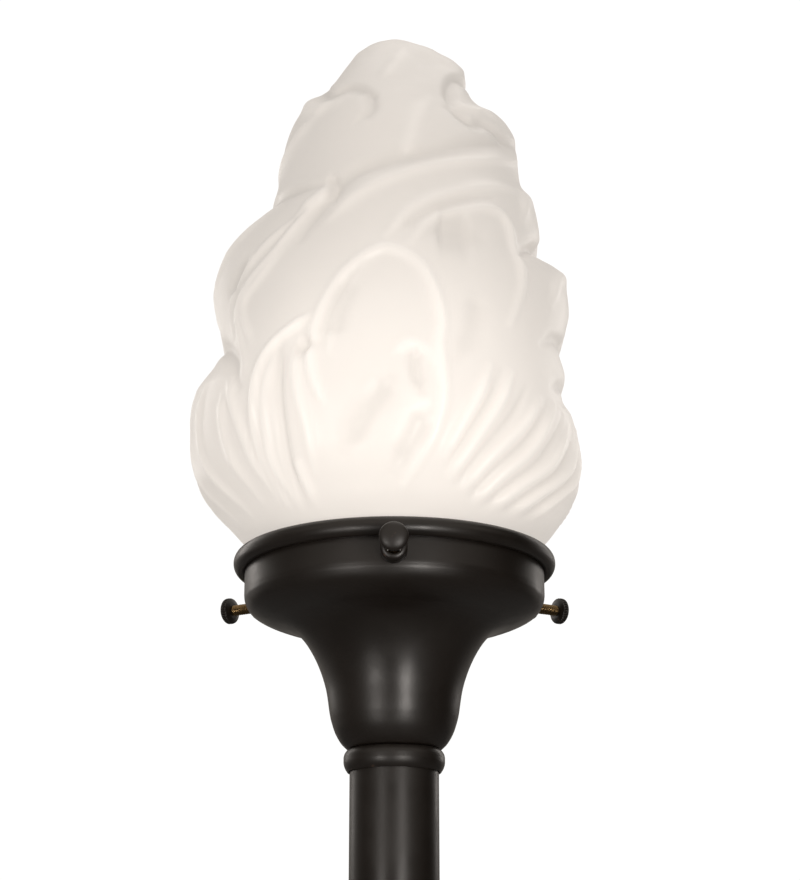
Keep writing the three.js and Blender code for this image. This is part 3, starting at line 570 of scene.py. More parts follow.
def copper():
    return finish_material("Bright copper", (0.68, 0.36, 0.2), (0.5, 0.24, 0.13), roughness=0.3,
                           metallic=1.0, bump=0.05, wear=(0.85, 0.5, 0.3), drift_scale=60.0)


def black_plastic():
    return finish_material("Moulded black plastic", (0.018, 0.018, 0.02), (0.03, 0.03, 0.032),
                           roughness=0.55, bump=0.35, grain_scale=1300.0, wear=(0.07, 0.07, 0.07),
                           dust=0.3, drift_scale=18.0)


def rubber():
    return finish_material("Matt rubber", (0.02, 0.02, 0.02), (0.035, 0.034, 0.033), roughness=0.82,
                           bump=0.3, grain_scale=1600.0, dust=0.3)


def nylon():
    return finish_material("Natural nylon", (0.75, 0.72, 0.64), (0.66, 0.62, 0.53), roughness=0.5,
                           bump=0.1, Subsurface_Weight=0.2, Subsurface_Scale=0.002)


def fibre():
    return finish_material("Pressed fibre paper", (0.36, 0.24, 0.15), (0.25, 0.16, 0.1), roughness=0.85,
                           bump=0.4, grain_scale=900.0, drift_scale=90.0)


def porcelain():
    return finish_material("Glazed porcelain", (0.82, 0.79, 0.72), (0.74, 0.7, 0.62), roughness=0.18,
                           bump=0.06, grain_scale=500.0, Coat_Weight=0.5)


def white_insulation():
    return finish_material("White wire insulation", (0.8, 0.78, 0.73), (0.7, 0.68, 0.62),
                           roughness=0.45, bump=0.1)


def tungsten():
    return finish_material("Coiled tungsten", (0.3, 0.29, 0.27), (0.22, 0.21, 0.2), roughness=0.45,
                           metallic=1.0, bump=0.1, Emission_Color=(1.0, 0.62, 0.28, 1.0),
                           Emission_Strength=4.0)


def opal_glass():
    """Pressed frosted glass whose light from the bulb is painted in its emission: a painted glow brightest
    beside the bulb, painted shade in its folds.
    """
    name = "Frosted flame glass"
    known = bpy.data.materials.get(name)
    if known:
        return known
    colours = settings()
    material = bpy.data.materials.new(name)
    material.use_nodes = True
    tree = material.node_tree
    shader = tree.nodes["Principled BSDF"]
    tint = use_group(tree, "Drifting tint", build_tint, first=colours.glass,
                     second=toned(colours.glass, 0.95), drift_scale=26.0)
    grain = use_group(tree, "Grain and blotch", build_grain, grain_scale=3200.0, blotch_scale=45.0)
    tree.links.new(tint.outputs["Colour"], shader.inputs["Base Color"])
    tree.links.new(ramp(tree, grain.outputs["Blotch"], 0.0, 1.0, 0.42, 0.54), shader.inputs["Roughness"])
    grain_bump(tree, grain, shader, 0.06)
    # Painted shade in the folds and painted highlight on the ridges come from the relief, and a painted glow
    # from the bulb comes from the glow attribute; both set the emission.
    relief = tree.nodes.new("ShaderNodeAttribute")
    relief.attribute_name = "relief"
    glow = tree.nodes.new("ShaderNodeAttribute")
    glow.attribute_name = "glow"
    folds = ramp(tree, relief.outputs["Fac"], -1.0, 1.0, *FOLD_SHADES)
    light = ramp(tree, glow.outputs["Fac"], 0.0, 1.0, *GLOW_SHADES)
    strength = maths(tree, "MULTIPLY", folds, light)
    warm = mixed(tree, glow.outputs["Fac"], toned(colours.glow, 0.93), colours.glow)
    scaled = tree.nodes.new("ShaderNodeVectorMath")
    scaled.operation = "SCALE"
    tree.links.new(warm, scaled.inputs[0])
    tree.links.new(strength, scaled.inputs["Scale"])
    tree.links.new(scaled.outputs["Vector"], shader.inputs["Emission Color"])
    shader.inputs["Emission Strength"].default_value = colours.glow_strength
    shader.inputs["Transmission Weight"].default_value = 0.12
    shader.inputs["IOR"].default_value = 1.48
    shader.inputs["Coat Weight"].default_value = 0.12
    shader.inputs["Coat Roughness"].default_value = 0.35
    return material


def frosted_glass():
    return finish_material("Frosted bulb glass", (0.95, 0.92, 0.86), (0.9, 0.87, 0.8), roughness=0.45,
                           rough_drift=0.05, bump=0.05, Emission_Color=(1.0, 0.86, 0.66, 1.0),
                           Emission_Strength=0.3, Transmission_Weight=0.3)


def clear_glass():
    return finish_material("Clear glass", (0.93, 0.95, 0.95), (0.9, 0.93, 0.93), roughness=0.06,
                           rough_drift=0.03, bump=0.02, Transmission_Weight=0.9)


FINISHES = {
    "dark_bronze": dark_bronze, "brass": brass, "steel": steel, "copper": copper,
    "black_plastic": black_plastic, "rubber": rubber, "nylon": nylon, "fibre": fibre,
    "porcelain": porcelain, "opal_glass": opal_glass, "frosted_glass": frosted_glass,
    "clear_glass": clear_glass, "filament": tungsten, "white_insulation": white_insulation,
}


# ---- Properties ----
class TorchSizes(bpy.types.PropertyGroup):
    screw_pitch: FloatProperty(
        name="Screw Pitch", description="Pitch of the thumbscrews' threads, in millimetres", default=0.79,
        min=0.3)
    nipple_pitch: FloatProperty(
        name="Nipple Pitch", description="Pitch of the lamp nipple's thread, in millimetres", default=0.94,
        min=0.3)
    knurls: IntProperty(
        name="Knurls", description="Teeth round the edge of a thumbscrew's head", default=30, min=12)
    stake_ribs: IntProperty(
        name="Stake Ribs", description="Ribs between the stake's hub and its flange", default=8, min=3)
    flame_relief: FloatProperty(
        name="Flame Relief", description="How strongly the pleats stand out on the glass", default=1.0,
        min=0.0, subtype="FACTOR")
    glass_wall: FloatProperty(
        name="Glass Wall", description="Thickness of the glass, in millimetres", default=3.0, min=1.0)


class TorchColours(bpy.types.PropertyGroup):
    bronze: FloatVectorProperty(
        name="Bronze", description="Colour of the painted metal", default=(0.0078, 0.0056, 0.0041),
        subtype="COLOR", min=0.0, max=1.0)
    brass: FloatVectorProperty(
        name="Brass", description="Colour of the screws' shanks and the socket",
        default=(0.23, 0.15, 0.068), subtype="COLOR", min=0.0, max=1.0)
    glass: FloatVectorProperty(
        name="Glass", description="Colour of the frosted glass", default=(0.46, 0.437, 0.41),
        subtype="COLOR", min=0.0, max=1.0)
    glow: FloatVectorProperty(
        name="Glow", description="Colour of the light in the glass", default=(1.0, 0.94, 0.88),
        subtype="COLOR", min=0.0, max=1.0)
    glow_strength: FloatProperty(
        name="Glow Strength", description="How brightly the glass is lit from inside", default=0.385,
        min=0.0)
    floor: FloatVectorProperty(
        name="Floor", description="Colour of the studio floor", default=(0.82, 0.81, 0.79),
        subtype="COLOR", min=0.0, max=1.0)


# ---- Stage ----
SURROUND_COLOUR = (1.0, 0.995, 0.985)
SURROUND_LIGHT = 0.3
SURROUND_SHOWN = 1.05  # how bright the surround looks to the camera
# How glossy surfaces see the surround: its colour, how bright it is on the camera's side and behind the
# torch, and what is added on the camera's side above eye level.
MIRRORED_COLOUR = (1.0, 0.91, 0.82)
MIRRORED_AHEAD = 0.025
MIRRORED_BEHIND = 0.32
MIRRORED_HIGH = 0.7
MIRRORED_LEFTWARD = 0.35  # how much it is also brighter towards the left
# Between which parts of a direction they change: to the back and left, upwards, and to the back.
BEHIND_FADE = (-0.1, 1.0)
HIGH_FADE = (0.1, 0.35)
AHEAD_FADE = (-0.6, 0.1)
FLOOR_REACH = 3000.0
CAMERA_PITCH = 18.2  # degrees above level
CAMERA_PLACE = (0.00205, -0.662, 0.2476)
CAMERA_LENS = 75.27
CAMERA_SENSOR = 36.0
LIGHT_COLOUR = (1.0, 0.945, 0.895)
# Soft lights: name, place, the point it faces, width, height, power in watts and spread in degrees.
LIGHTS = [
    ("left_strip", (-0.62, -1.03, 0.13), (0.0, 0.0, 0.36), 0.24, 0.46, 1.2, 100),
    ("right_strip", (0.41, -1.13, 0.13), (0.0, 0.0, 0.36), 0.24, 0.46, 1.9, 100),
    ("overhead", (0.15, 0.1, 1.75), (0.0, 0.0, 0.4), 1.2, 1.2, 5.0, 180),
    ("back_left", (-1.0, 0.9, 0.85), (0.0, 0.0, 0.4), 0.3, 0.8, 2.4, 180),
    ("back_right", (0.9, 1.0, 0.85), (0.0, 0.0, 0.4), 0.3, 0.8, 1.8, 180),
]


class TORCH_OT_stage(bpy.types.Operator):
    """Sets the floor, the soft lights, the bright surround and the camera"""

    bl_idname = "torch.stage"
    bl_label = "Stage"

    def execute(self, context):
        scene = context.scene
        self.set_camera(scene)
        self.set_lights(scene)
        self.surround(scene)
        self.floor()
        scene.view_settings.view_transform = "Standard"
        return {"FINISHED"}

    def set_camera(self, scene):
        camera = bpy.data.objects.new("camera", bpy.data.cameras.new("camera"))
        camera.data.lens = CAMERA_LENS
        camera.data.sensor_width = CAMERA_SENSOR
        camera.location = CAMERA_PLACE
        camera.rotation_euler = (math.radians(90 + CAMERA_PITCH), 0, 0)
        scene.collection.objects.link(camera)
        scene.camera = camera

    def set_lights(self, scene):
        for name, where, at, width, height, power, spread in LIGHTS:
            light = bpy.data.lights.new(name, "AREA")
            light.shape = "RECTANGLE"
            light.size = width
            light.size_y = height
            light.energy = power
            light.spread = math.radians(spread)
            light.color = LIGHT_COLOUR
            lamp = bpy.data.objects.new(name, light)
            lamp.location = where
            direction = np.array(at) - np.array(where)
            flat = math.hypot(direction[0], direction[1])
            tilt = math.atan2(flat, -direction[2])
            lamp.rotation_euler = (tilt, 0, math.atan2(-direction[0], direction[1]))
            scene.collection.objects.link(lamp)

    def surround(self, scene):
        """A white surround, which lights the torch and is mirrored in it less brightly than it shows."""
        world = bpy.data.worlds.new("studio")
        world.use_nodes = True
        tree = world.node_tree
        background = tree.nodes["Background"]
        rays = tree.nodes.new("ShaderNodeLightPath").outputs
        seen = ramp(tree, rays["Is Camera Ray"], 0.0, 1.0, SURROUND_LIGHT, SURROUND_SHOWN)
        split = tree.nodes.new("ShaderNodeSeparateXYZ")
        direction = tree.nodes.new("ShaderNodeTexCoord").outputs["Generated"]
        tree.links.new(direction, split.inputs["Vector"])
        rightward = maths(tree, "MULTIPLY", split.outputs["X"], MIRRORED_LEFTWARD)
        behind_left = maths(tree, "SUBTRACT", split.outputs["Y"], rightward)
        around = ramp(tree, behind_left, *BEHIND_FADE, MIRRORED_AHEAD, MIRRORED_BEHIND)
        high = ramp(tree, split.outputs["Z"], *HIGH_FADE, 0.0, MIRRORED_HIGH)
        ahead = ramp(tree, split.outputs["Y"], *AHEAD_FADE, 1.0, 0.0)
        mirrored = maths(tree, "ADD", maths(tree, "MULTIPLY", high, ahead), around)
        glossy = rays["Is Glossy Ray"]
        spare = maths(tree, "MULTIPLY", maths(tree, "SUBTRACT", seen, mirrored), glossy)
        tree.links.new(maths(tree, "SUBTRACT", seen, spare), background.inputs["Strength"])
        tint = mixed(tree, glossy, SURROUND_COLOUR, MIRRORED_COLOUR)
        tree.links.new(tint, background.inputs["Color"])
        scene.world = world

    def floor(self):
        level = frame_box[0][2] / MM
        corners = [(-1, -1), (1, -1), (1, 1), (-1, 1)]
        points = [(x * FLOOR_REACH, y * FLOOR_REACH, level) for x, y in corners]
        floor = make_object("studio_floor", (points, [[0, 1, 2, 3]]))
        colour = settings().floor
        material = finish_material("Studio floor", colour, toned(colour, 0.98), roughness=0.7, bump=0.02,
                                   drift_scale=3.0)
        tree = material.node_tree
        shader = tree.nodes["Principled BSDF"]
        plain = shader.inputs["Base Color"].links[0].from_socket
        # Seen in a reflection the floor is darker: a painted darkening of its reflection in the torch's
        # glossy pieces.
        mirrored = tree.nodes.new("ShaderNodeLightPath").outputs["Is Glossy Ray"]
        tree.links.new(mixed(tree, mirrored, plain, toned(colour, 0.2)), shader.inputs["Base Color"])
        floor.data.materials.append(material)


# ---- Flame glass ----
GLOW_LEVEL = 461.0  # height at which the painted glow from the bulb is strongest
GLOW_HALF_HEIGHT = 55.0
GLOW_HALF_WIDTH = 68.0
FLAME_COLUMNS = 288
FITTER_RADIUS = 50.8
FITTER_HEIGHT = 14.0
CROWN_LEVEL = 222.0  # height above the glass's foot from which the top rounds over
GLASS_NECK = [(0, FITTER_RADIUS), (FITTER_HEIGHT, FITTER_RADIUS)]
# Silhouette of the glass, as (height, reach): its left and right edges, and the plainer bodies under their
# folds.
LEFT_EDGE = GLASS_NECK + [
    (25, 58.5), (31, 63.5), (39, 70.5), (48, 75), (58, 76.5), (68, 76.5), (80, 74.5), (90, 68), (97, 65),
    (107, 67), (119, 69), (134, 66), (144, 59), (151, 52), (155, 48), (165, 45.5), (182, 43.5), (193, 40),
    (204, 33), (211, 25.5), (215, 20.5), (224, 16.5), (228.5, 13.5), (231, 9.5), (232, 6), (234, 0),
]
RIGHT_EDGE = GLASS_NECK + [
    (26, 59), (31, 63), (36, 66), (42, 68.8), (52, 69.8), (61, 69), (71, 66.5), (77, 63),
    (87, 64.5), (97, 62.5), (104, 65), (113, 67), (127, 65.5), (131, 62), (134, 57), (137, 53.5), (144, 56),
    (154, 55), (161, 52.3), (168, 49), (186, 47.5), (193, 44), (200, 37.5), (204, 30), (208, 27.5),
    (219, 27), (224, 23.5), (227.5, 18), (230, 11), (232, 6), (234, 0),
]
LEFT_BODY = GLASS_NECK + [
    (26, 59), (42, 70), (62, 74.5), (85, 71), (110, 66), (135, 59), (158, 49), (185, 42),
    (205, 31.5), (220, 20), (228, 13.5), (231, 9.5), (232, 6), (234, 0),
]
RIGHT_BODY = GLASS_NECK + [
    (26, 59), (42, 67), (60, 69), (85, 66), (110, 63.5), (135, 59), (160, 52), (185, 45),
    (205, 32), (220, 23), (227.5, 17), (230, 11), (232, 6), (234, 0),
]
FRONT_BODY = GLASS_NECK + [
    (26, 57.5), (42, 66), (62, 70), (85, 68.5), (110, 64.5), (135, 58), (160, 50),
    (185, 40), (205, 27), (218, 16), (226, 9), (230, 5.5), (232, 3.5), (234, 0),
]
# Pleats, folds and curled tips pressed into the glass: (angle from the front, height) points, then how far
# the stroke stands out (in, when negative) and its half width. Angles are degrees, positive to the right.
STROKES = [
    # the looped tongue in the middle
    ([(-21, 56), (-24, 70), (-24, 80), (-21, 92), (-15, 104), (-6, 112), (1, 112), (8, 106), (12, 96),
      (14, 84), (13, 75), (14, 62), (14, 53), (12, 43), (8, 34), (3, 26)], 1.9, 2.1),
    ([(-19, 72), (-18, 86), (-14, 97), (-9, 106)], 1.2, 1.6),
    ([(-19, 78), (-17, 92), (-12, 103)], -1.9, 4.0),
    ([(0, 71), (4, 75), (9, 73), (13, 63)], 1.1, 1.8),
    ([(6, 72), (6, 65), (8, 57)], -2.4, 1.9),
    ([(-1, 62), (-9, 50), (-15, 38)], -1.8, 4.4),
    ([(9, 50), (5, 40), (0, 31)], -1.6, 3.6),
    # the curled leaf on the left, with its pleats
    ([(-26, 88), (-30, 85), (-36, 81), (-40, 76), (-42, 68), (-43, 58), (-44, 44), (-41, 24)], 2.3, 1.7),
    ([(-29, 77), (-24, 76)], -3.0, 3.2),
    ([(-37, 76), (-39, 60), (-40, 48), (-40, 35), (-36, 22)], 1.4, 1.5),
    ([(-35, 80), (-34, 60), (-34, 46), (-34, 34), (-33, 22)], -1.9, 1.4),
    ([(-30, 76), (-28, 59), (-26, 45), (-26, 32)], 1.3, 1.7),
    ([(-25, 74), (-24, 65), (-20, 54)], 1.1, 1.7),
    ([(-32, 37), (-29, 22)], 1.2, 1.6),
    # the lower left lobe
    ([(-56, 66), (-57, 53), (-56, 43), (-52, 27)], 1.3, 1.8),
    ([(-54, 72), (-50, 54), (-47, 39), (-44, 26)], 1.4, 1.7),
    ([(-68, 74), (-72, 54), (-68, 38), (-62, 25)], 1.5, 2.2),
    ([(-82, 82), (-86, 60), (-82, 40), (-76, 26)], 1.6, 2.6),
    ([(-90, 97), (-70, 90), (-56, 80), (-49, 66)], -2.4, 2.6),
    # the second lobe on the left, with its tip
    ([(-48, 74), (-57, 97), (-52, 108), (-42, 119), (-34, 131), (-26, 140)], 1.7, 1.7),
    ([(-47, 82), (-54, 99), (-47, 109), (-38, 120)], 1.3, 1.5),
    ([(-60, 88), (-61, 106), (-53, 118), (-45, 126), (-36, 133)], 1.3, 1.7),
    ([(-62, 108), (-57, 121)], -2.0, 3.6),
    ([(-76, 98), (-80, 116), (-70, 134), (-52, 144)], 1.6, 3.0),
    ([(-25, 142), (-30, 139), (-36, 134)], 2.2, 2.4),
    ([(-25, 149), (-22, 135)], -2.0, 2.0),
    ([(-90, 152), (-70, 150), (-48, 147), (-30, 145)], -2.0, 2.6),
    # the long sweeps that rise to the right
    ([(-33, 121), (-27, 134), (-18, 146), (-4, 152), (15, 158), (37, 166), (65, 176), (86, 182)],
     -1.8, 3.2),
    ([(-23, 128), (-13, 138), (2, 146), (19, 153), (47, 162), (76, 173)], 1.6, 2.6),
    ([(-3, 118), (7, 131), (22, 140), (42, 148), (62, 153)], 1.5, 2.4),
    ([(5, 115), (12, 125), (22, 131), (36, 136), (44, 134), (46, 122), (45, 106), (38, 88)], 1.6, 2.2),
    ([(2, 121), (10, 129), (22, 136), (40, 142)], -1.1, 2.2),
    ([(14, 122), (28, 121)], -2.6, 8.0),
    ([(26, 96), (24, 82), (19, 70)], -1.0, 4.0),
    # the folds of the right edge
    ([(90, 137), (66, 130), (47, 119)], -2.6, 2.4),
    ([(90, 97), (75, 95), (64, 92), (54, 86)], -1.8, 2.4),
    ([(90, 77), (72, 76), (58, 70)], -1.8, 2.4),
    ([(86, 126), (70, 118), (60, 104)], 1.6, 3.2),
    ([(84, 158), (66, 152), (56, 138)], 1.4, 3.0),
    # the top
    ([(-90, 211), (-64, 202), (-46, 194), (-32, 195), (-19, 191), (-12, 187)], -2.2, 2.6),
    ([(-78, 203), (-52, 189), (-34, 187)], 1.6, 3.2),
    ([(-15, 190), (-12, 180), (-18, 173)], -1.4, 2.4),
    ([(-84, 166), (-62, 174), (-46, 184)], 1.4, 4.0),
    ([(4, 156), (8, 168), (12, 178), (19, 186)], 1.4, 3.6),
    ([(28, 183), (40, 177), (49, 179), (63, 177), (80, 181)], -1.9, 2.2),
    ([(31, 184), (38, 196), (58, 206), (90, 207)], -2.1, 2.6),
    ([(34, 188), (44, 186), (54, 188), (66, 186)], 1.4, 2.2),
    ([(-8, 200), (2, 212), (14, 224)], 1.3, 3.0),
]
# The fan of pleats on the right: ridges, and a groove between each two.
RIGHT_FAN = [
    [(16, 36), (21, 48), (25, 58), (29, 70)],
    [(19, 30), (25, 42), (32, 56), (37, 69)],
    [(25, 27), (32, 38), (42, 51), (49, 63)],
    [(30, 23), (38, 33), (47, 44), (58, 64)],
    [(38, 22), (47, 31), (57, 41), (68, 60)],
    [(48, 22), (58, 31), (69, 42), (80, 62)],
    [(60, 23), (70, 33), (80, 45), (88, 66)],
]
FAN_RIDGE = (1.7, 1.7)
FAN_GROOVE = (-1.5, 1.4)
STROKE_RISE = 0.14  # share of a stroke's length over which it grows at its start
STROKE_FALL = 0.3  # and dies away at its end
STROKE_FAINTEST = 0.35  # how far an end stands out, as a share of the middle
STROKE_NARROWEST = 0.6  # how wide an end is, as a share of the middle
RELIEF_LIMITS = (-4, 3.2)
CROWN_CALM = 0.7  # share by which the relief sinks at the very top
SIDE_CALM = 0.65  # and at the sides, whose outlines already hold the folds
SIDE_CALM_FROM = 68  # degrees from the front
BACK_SHIFT = 8  # millimetres by which the strokes sit lower halfway round the back
STRONG_RELIEF = 2.2  # millimetres that count as a full ridge or groove in the glass's painted shade and highlight
FOLD_SPREAD = 34  # degrees from the side over which an edge's folds fade into the body
RIGHT_FOLD_DROP = 0.32  # millimetres by which a fold drops for each degree that it runs to the front
LEFT_FOLD_DROP = 0.26


def flame_strokes():
    """Every stroke with its pleats on the right, as a path, how far it stands out and its half width."""
    strokes = [(np.array(points, float), out, width) for points, out, width in STROKES]
    fan = [np.array(points, float) for points in RIGHT_FAN]
    strokes += [(points, *FAN_RIDGE) for points in fan]
    strokes += [((lower + upper) / 2, *FAN_GROOVE) for lower, upper in zip(fan, fan[1:])]
    return strokes


def stroke_relief(angle, height, radius):
    """How far the pressed strokes stand out at each point of the glass, in millimetres."""
    relief = np.zeros_like(height)
    for points, out, width in flame_strokes():
        path = smooth_path(points, 6)
        reach = 3.2 * width
        low_a, high_a = path[:, 0].min() - 30, path[:, 0].max() + 30
        low_h, high_h = path[:, 1].min() - reach, path[:, 1].max() + reach
        near = (angle > low_a) & (angle < high_a) & (height > low_h) & (height < high_h)
        if not near.any():
            continue
        scale = np.radians(1.0) * radius[near]
        x, y = angle[near] * scale, height[near]
        nearest = np.full(x.shape, np.inf)
        place_along = np.zeros_like(x)
        count = len(path) - 1
        for i in range(count):
            ax, ay = path[i, 0] * scale, path[i, 1]
            bx, by = path[i + 1, 0] * scale, path[i + 1, 1]
            dx, dy = bx - ax, by - ay
            t = np.clip(((x - ax) * dx + (y - ay) * dy) / (dx * dx + dy * dy + 1e-9), 0, 1)
            distance = np.hypot(x - ax - t * dx, y - ay - t * dy)
            closer = distance < nearest
            nearest = np.where(closer, distance, nearest)
            place_along = np.where(closer, (i + t) / count, place_along)
        taper = blend_step(place_along, 0.0, STROKE_RISE) * blend_step(1 - place_along, 0.0, STROKE_FALL)
        share = STROKE_FAINTEST + (1 - STROKE_FAINTEST) * taper
        half = width * (STROKE_NARROWEST + (1 - STROKE_NARROWEST) * taper)
        relief[near] += out * share * np.exp(-((nearest / half) ** 2))
    return relief


def folded(angle):
    """The angle from the front, with the back half folded onto the front half."""
    return np.where(np.abs(angle) > 90, np.sign(angle) * (180 - np.abs(angle)), angle)


def flame_radius(angle, height):
    """Distance of the glass from the torch's axis before the strokes, from four sides' outlines."""
    side_angle = folded(angle)
    right_half = side_angle >= 0
    to_side = 90 - np.abs(side_angle)
    lean = height + np.where(right_half, RIGHT_FOLD_DROP, LEFT_FOLD_DROP) * to_side
    side_body = np.where(right_half, smooth_value(RIGHT_BODY, height), smooth_value(LEFT_BODY, height))
    right_fold = smooth_value(RIGHT_EDGE, lean) - smooth_value(RIGHT_BODY, lean)
    left_fold = smooth_value(LEFT_EDGE, lean) - smooth_value(LEFT_BODY, lean)
    fold = np.where(right_half, right_fold, left_fold) * np.exp(-((to_side / FOLD_SPREAD) ** 2))
    front = smooth_value(FRONT_BODY, height)
    across = np.sin(np.radians(side_angle)) / np.maximum(side_body, 0.05)
    ahead = np.cos(np.radians(side_angle)) / np.maximum(front, 0.05)
    return 1 / np.hypot(across, ahead) + fold


def build_flame():
    """The flame's outer side with all its strokes and its plainer inner side, as one closed glass wall."""
    bottom, top = levels("flame_shade")
    full = top - bottom
    wall = bpy.context.scene.torch_sizes.glass_wall
    relief_share = bpy.context.scene.torch_sizes.flame_relief
    turn = np.arange(FLAME_COLUMNS) * 360.0 / FLAME_COLUMNS - 180.0
    outer_heights = np.concatenate([
        np.linspace(0.8, FITTER_HEIGHT, 8), np.linspace(FITTER_HEIGHT + 0.9, CROWN_LEVEL, 200),
        CROWN_LEVEL + (full - CROWN_LEVEL) * np.sin(np.linspace(0.05, 1, 16) * math.pi / 2),
    ])
    inner_heights = np.concatenate([
        np.linspace(full - wall, CROWN_LEVEL - 6, 8), np.linspace(CROWN_LEVEL - 8, FITTER_HEIGHT, 70),
        np.linspace(FITTER_HEIGHT - 2, 0.8, 5),
    ])
    angle, height = np.meshgrid(turn, outer_heights)
    radius = flame_radius(angle, height)
    back = np.clip((np.abs(angle) - 90) / 90, 0, 1)
    stroke_height = height + BACK_SHIFT * np.sin(math.pi * back)
    relief = stroke_relief(folded(angle), stroke_height, np.maximum(radius, 6))
    relief *= relief_share * blend_step(height, FITTER_HEIGHT + 2, FITTER_HEIGHT + 14)
    relief *= 1 - CROWN_CALM * blend_step(height, CROWN_LEVEL, full)
    relief *= 1 - SIDE_CALM * blend_step(np.abs(folded(angle)), SIDE_CALM_FROM, 90)
    radius = np.maximum(radius + np.clip(relief, *RELIEF_LIMITS), 0.0)
    radius[-1] = 0
    inner_angle, inner_height = np.meshgrid(turn, inner_heights)
    inner_radius = np.maximum(flame_radius(inner_angle, inner_height + wall * 0.6) - wall * 1.15, 0.0)
    inner_radius = np.where(inner_height < FITTER_HEIGHT + 4, FITTER_RADIUS - wall, inner_radius)
    inner_radius[0] = 0
    columns = FLAME_COLUMNS
    lip = [np.full((1, columns), reach) for reach in (FITTER_RADIUS - wall + 0.8, FITTER_RADIUS - 0.8)]
    rows_radius = np.vstack([radius, inner_radius, *lip])
    rows_height = np.vstack([height, inner_height, np.zeros((2, columns))])
    theta = np.radians(turn - 90)[None, :]
    across, along = rows_radius * np.cos(theta), rows_radius * np.sin(theta)
    points = np.stack([across, along, bottom + rows_height], axis=-1)
    rows = len(rows_radius)
    faces = np.array(grid_faces(rows, columns, wrap_rows=True)).reshape(rows, columns, 4)
    # The two sides of the wall join at the lip only, not where each closes at the top.
    keep = np.ones(rows, bool)
    keep[len(outer_heights) - 1] = False
    faces = faces[keep].reshape(-1, 4).tolist()
    flat_relief = np.zeros((rows, columns))
    flat_relief[: len(outer_heights)] = np.clip(relief / STRONG_RELIEF, -1, 1)
    return points.reshape(-1, 3), faces, flat_relief.reshape(-1)


class TORCH_OT_flame(bpy.types.Operator):
    """Makes the pressed glass flame and the gasket that it stands on"""

    bl_idname = "torch.flame"
    bl_label = "Flame Glass"

    def execute(self, context):
        points, faces, relief = build_flame()
        mesh = bpy.data.meshes.new("flame_glass")
        mesh.from_pydata((points * MM).tolist(), [], faces)
        # The painted glow of the bulb's light on the glass: strongest at GLOW_LEVEL in the middle, fading
        # upwards, downwards and to the left and right.
        up = (points[:, 2] - GLOW_LEVEL) / GLOW_HALF_HEIGHT
        aside = points[:, 0] / GLOW_HALF_WIDTH
        glow = np.exp(-up ** 2 - aside ** 2)
        for label, values in (("relief", relief), ("glow", glow)):
            attribute = mesh.attributes.new(label, "FLOAT", "POINT")
            attribute.data.foreach_set("value", values.astype(np.float32))
        clean_up(mesh)
        shade_smooth(mesh)
        glass = bpy.data.objects.new("flame_glass", mesh)
        context.scene.collection.objects.link(glass)
        place(glass, "flame_shade")
        self.gasket()
        return {"FINISHED"}

    def gasket(self):
        high = levels("shade_gasket")[1]
        outer = half_width("shade_gasket")
        inner = outer - 4.6
        inner_low, outer_low = high, high
        for vertex in frame["nodes"]["shade_gasket"].data.vertices:
            level = vertex.co.z / MM
            if math.hypot(vertex.co.x, vertex.co.y) / MM > outer - 2.3:
                outer_low = min(outer_low, level)
            else:
                inner_low = min(inner_low, level)
        outline = rounded([
            (inner, inner_low, 0.3), (outer, outer_low, 0.3), (outer, high, 0.35), (inner, high, 0.35),
        ], 0.3, 4, closed=True)
        place(make_object("seat_gasket", lathe(outline, 144, closed=True)), "shade_gasket")


# ---- Bell holder ----
# The bell's outer side: (height up the bell, way out from its neck to the cup's wall), both as shares.
BELL_FLARE = [
    (0.24, 0.0), (0.4, 0.045), (0.55, 0.13), (0.68, 0.245), (0.775, 0.375), (0.825, 0.53),
    (0.857, 0.7), (0.89, 0.84), (0.927, 0.937),
]
CUP_RADIUS = 55.2
NECK_RADIUS = 23.4
HOLDER_WALL = 1.2
CUP_WALL_HEIGHT = 16.4
RIM_HALF_WIDTH = 2.7
RIM_HALF_HEIGHT = 3.4
BOSS_HOLE = 3.7
NIPPLE_HOLE = 5.16
AZIMUTHS = {"front": -90.0, "right": 30.0, "left": 150.0}


def bell_side(height):
    """One side of the bell from its foot up to the cup's wall."""
    foot = [(6.4, 0), (4.2, 2.2), (2.2, 5.6), (0.8, 9.6)]
    knots = [(NECK_RADIUS - inward, up) for inward, up in foot]
    knots += [(NECK_RADIUS + out * (CUP_RADIUS - NECK_RADIUS), up * height) for up, out in BELL_FLARE]
    knots += [(CUP_RADIUS - 0.4, height - 1.1), (CUP_RADIUS, height + 1.0)]
    return smooth_path(knots, 6)


def bell_outline():
    """The whole bell as one closed outline: its outer side, the rolled rim and its inner side."""
    foot, top = levels("shade_holder")
    height = top - CUP_WALL_HEIGHT - foot
    side = bell_side(height) + [0, foot]
    middle = CUP_RADIUS - HOLDER_WALL + RIM_HALF_WIDTH
    rim_z = top - RIM_HALF_HEIGHT
    start = -math.pi + math.acos((middle - CUP_RADIUS) / RIM_HALF_WIDTH)
    turns = np.linspace(start, math.pi, 30)
    out, up = RIM_HALF_WIDTH * np.cos(turns), RIM_HALF_HEIGHT * np.sin(turns)
    rim = np.stack([middle + out, rim_z + up], axis=1)
    along = np.gradient(side, axis=0)
    along /= np.linalg.norm(along, axis=1)[:, None]
    inside = side + HOLDER_WALL * np.stack([-along[:, 1], along[:, 0]], axis=1)
    inside[:, 1] = np.maximum(inside[:, 1], foot + HOLDER_WALL)
    inside = inside[3:-1][::-1]
    corner = [[CUP_RADIUS - HOLDER_WALL, top - CUP_WALL_HEIGHT + 2.4]]
    floor = [[NIPPLE_HOLE, foot + HOLDER_WALL]]
    wall_steps = [[CUP_RADIUS, z] for z in np.linspace(side[-1][1] + 1.0, rim[0][1] - 0.5, 8)]
    return np.vstack([[[NIPPLE_HOLE, foot]], side, wall_steps, rim, corner, inside, floor])


def screw_height():
    return middle_level("right_thumbscrew")


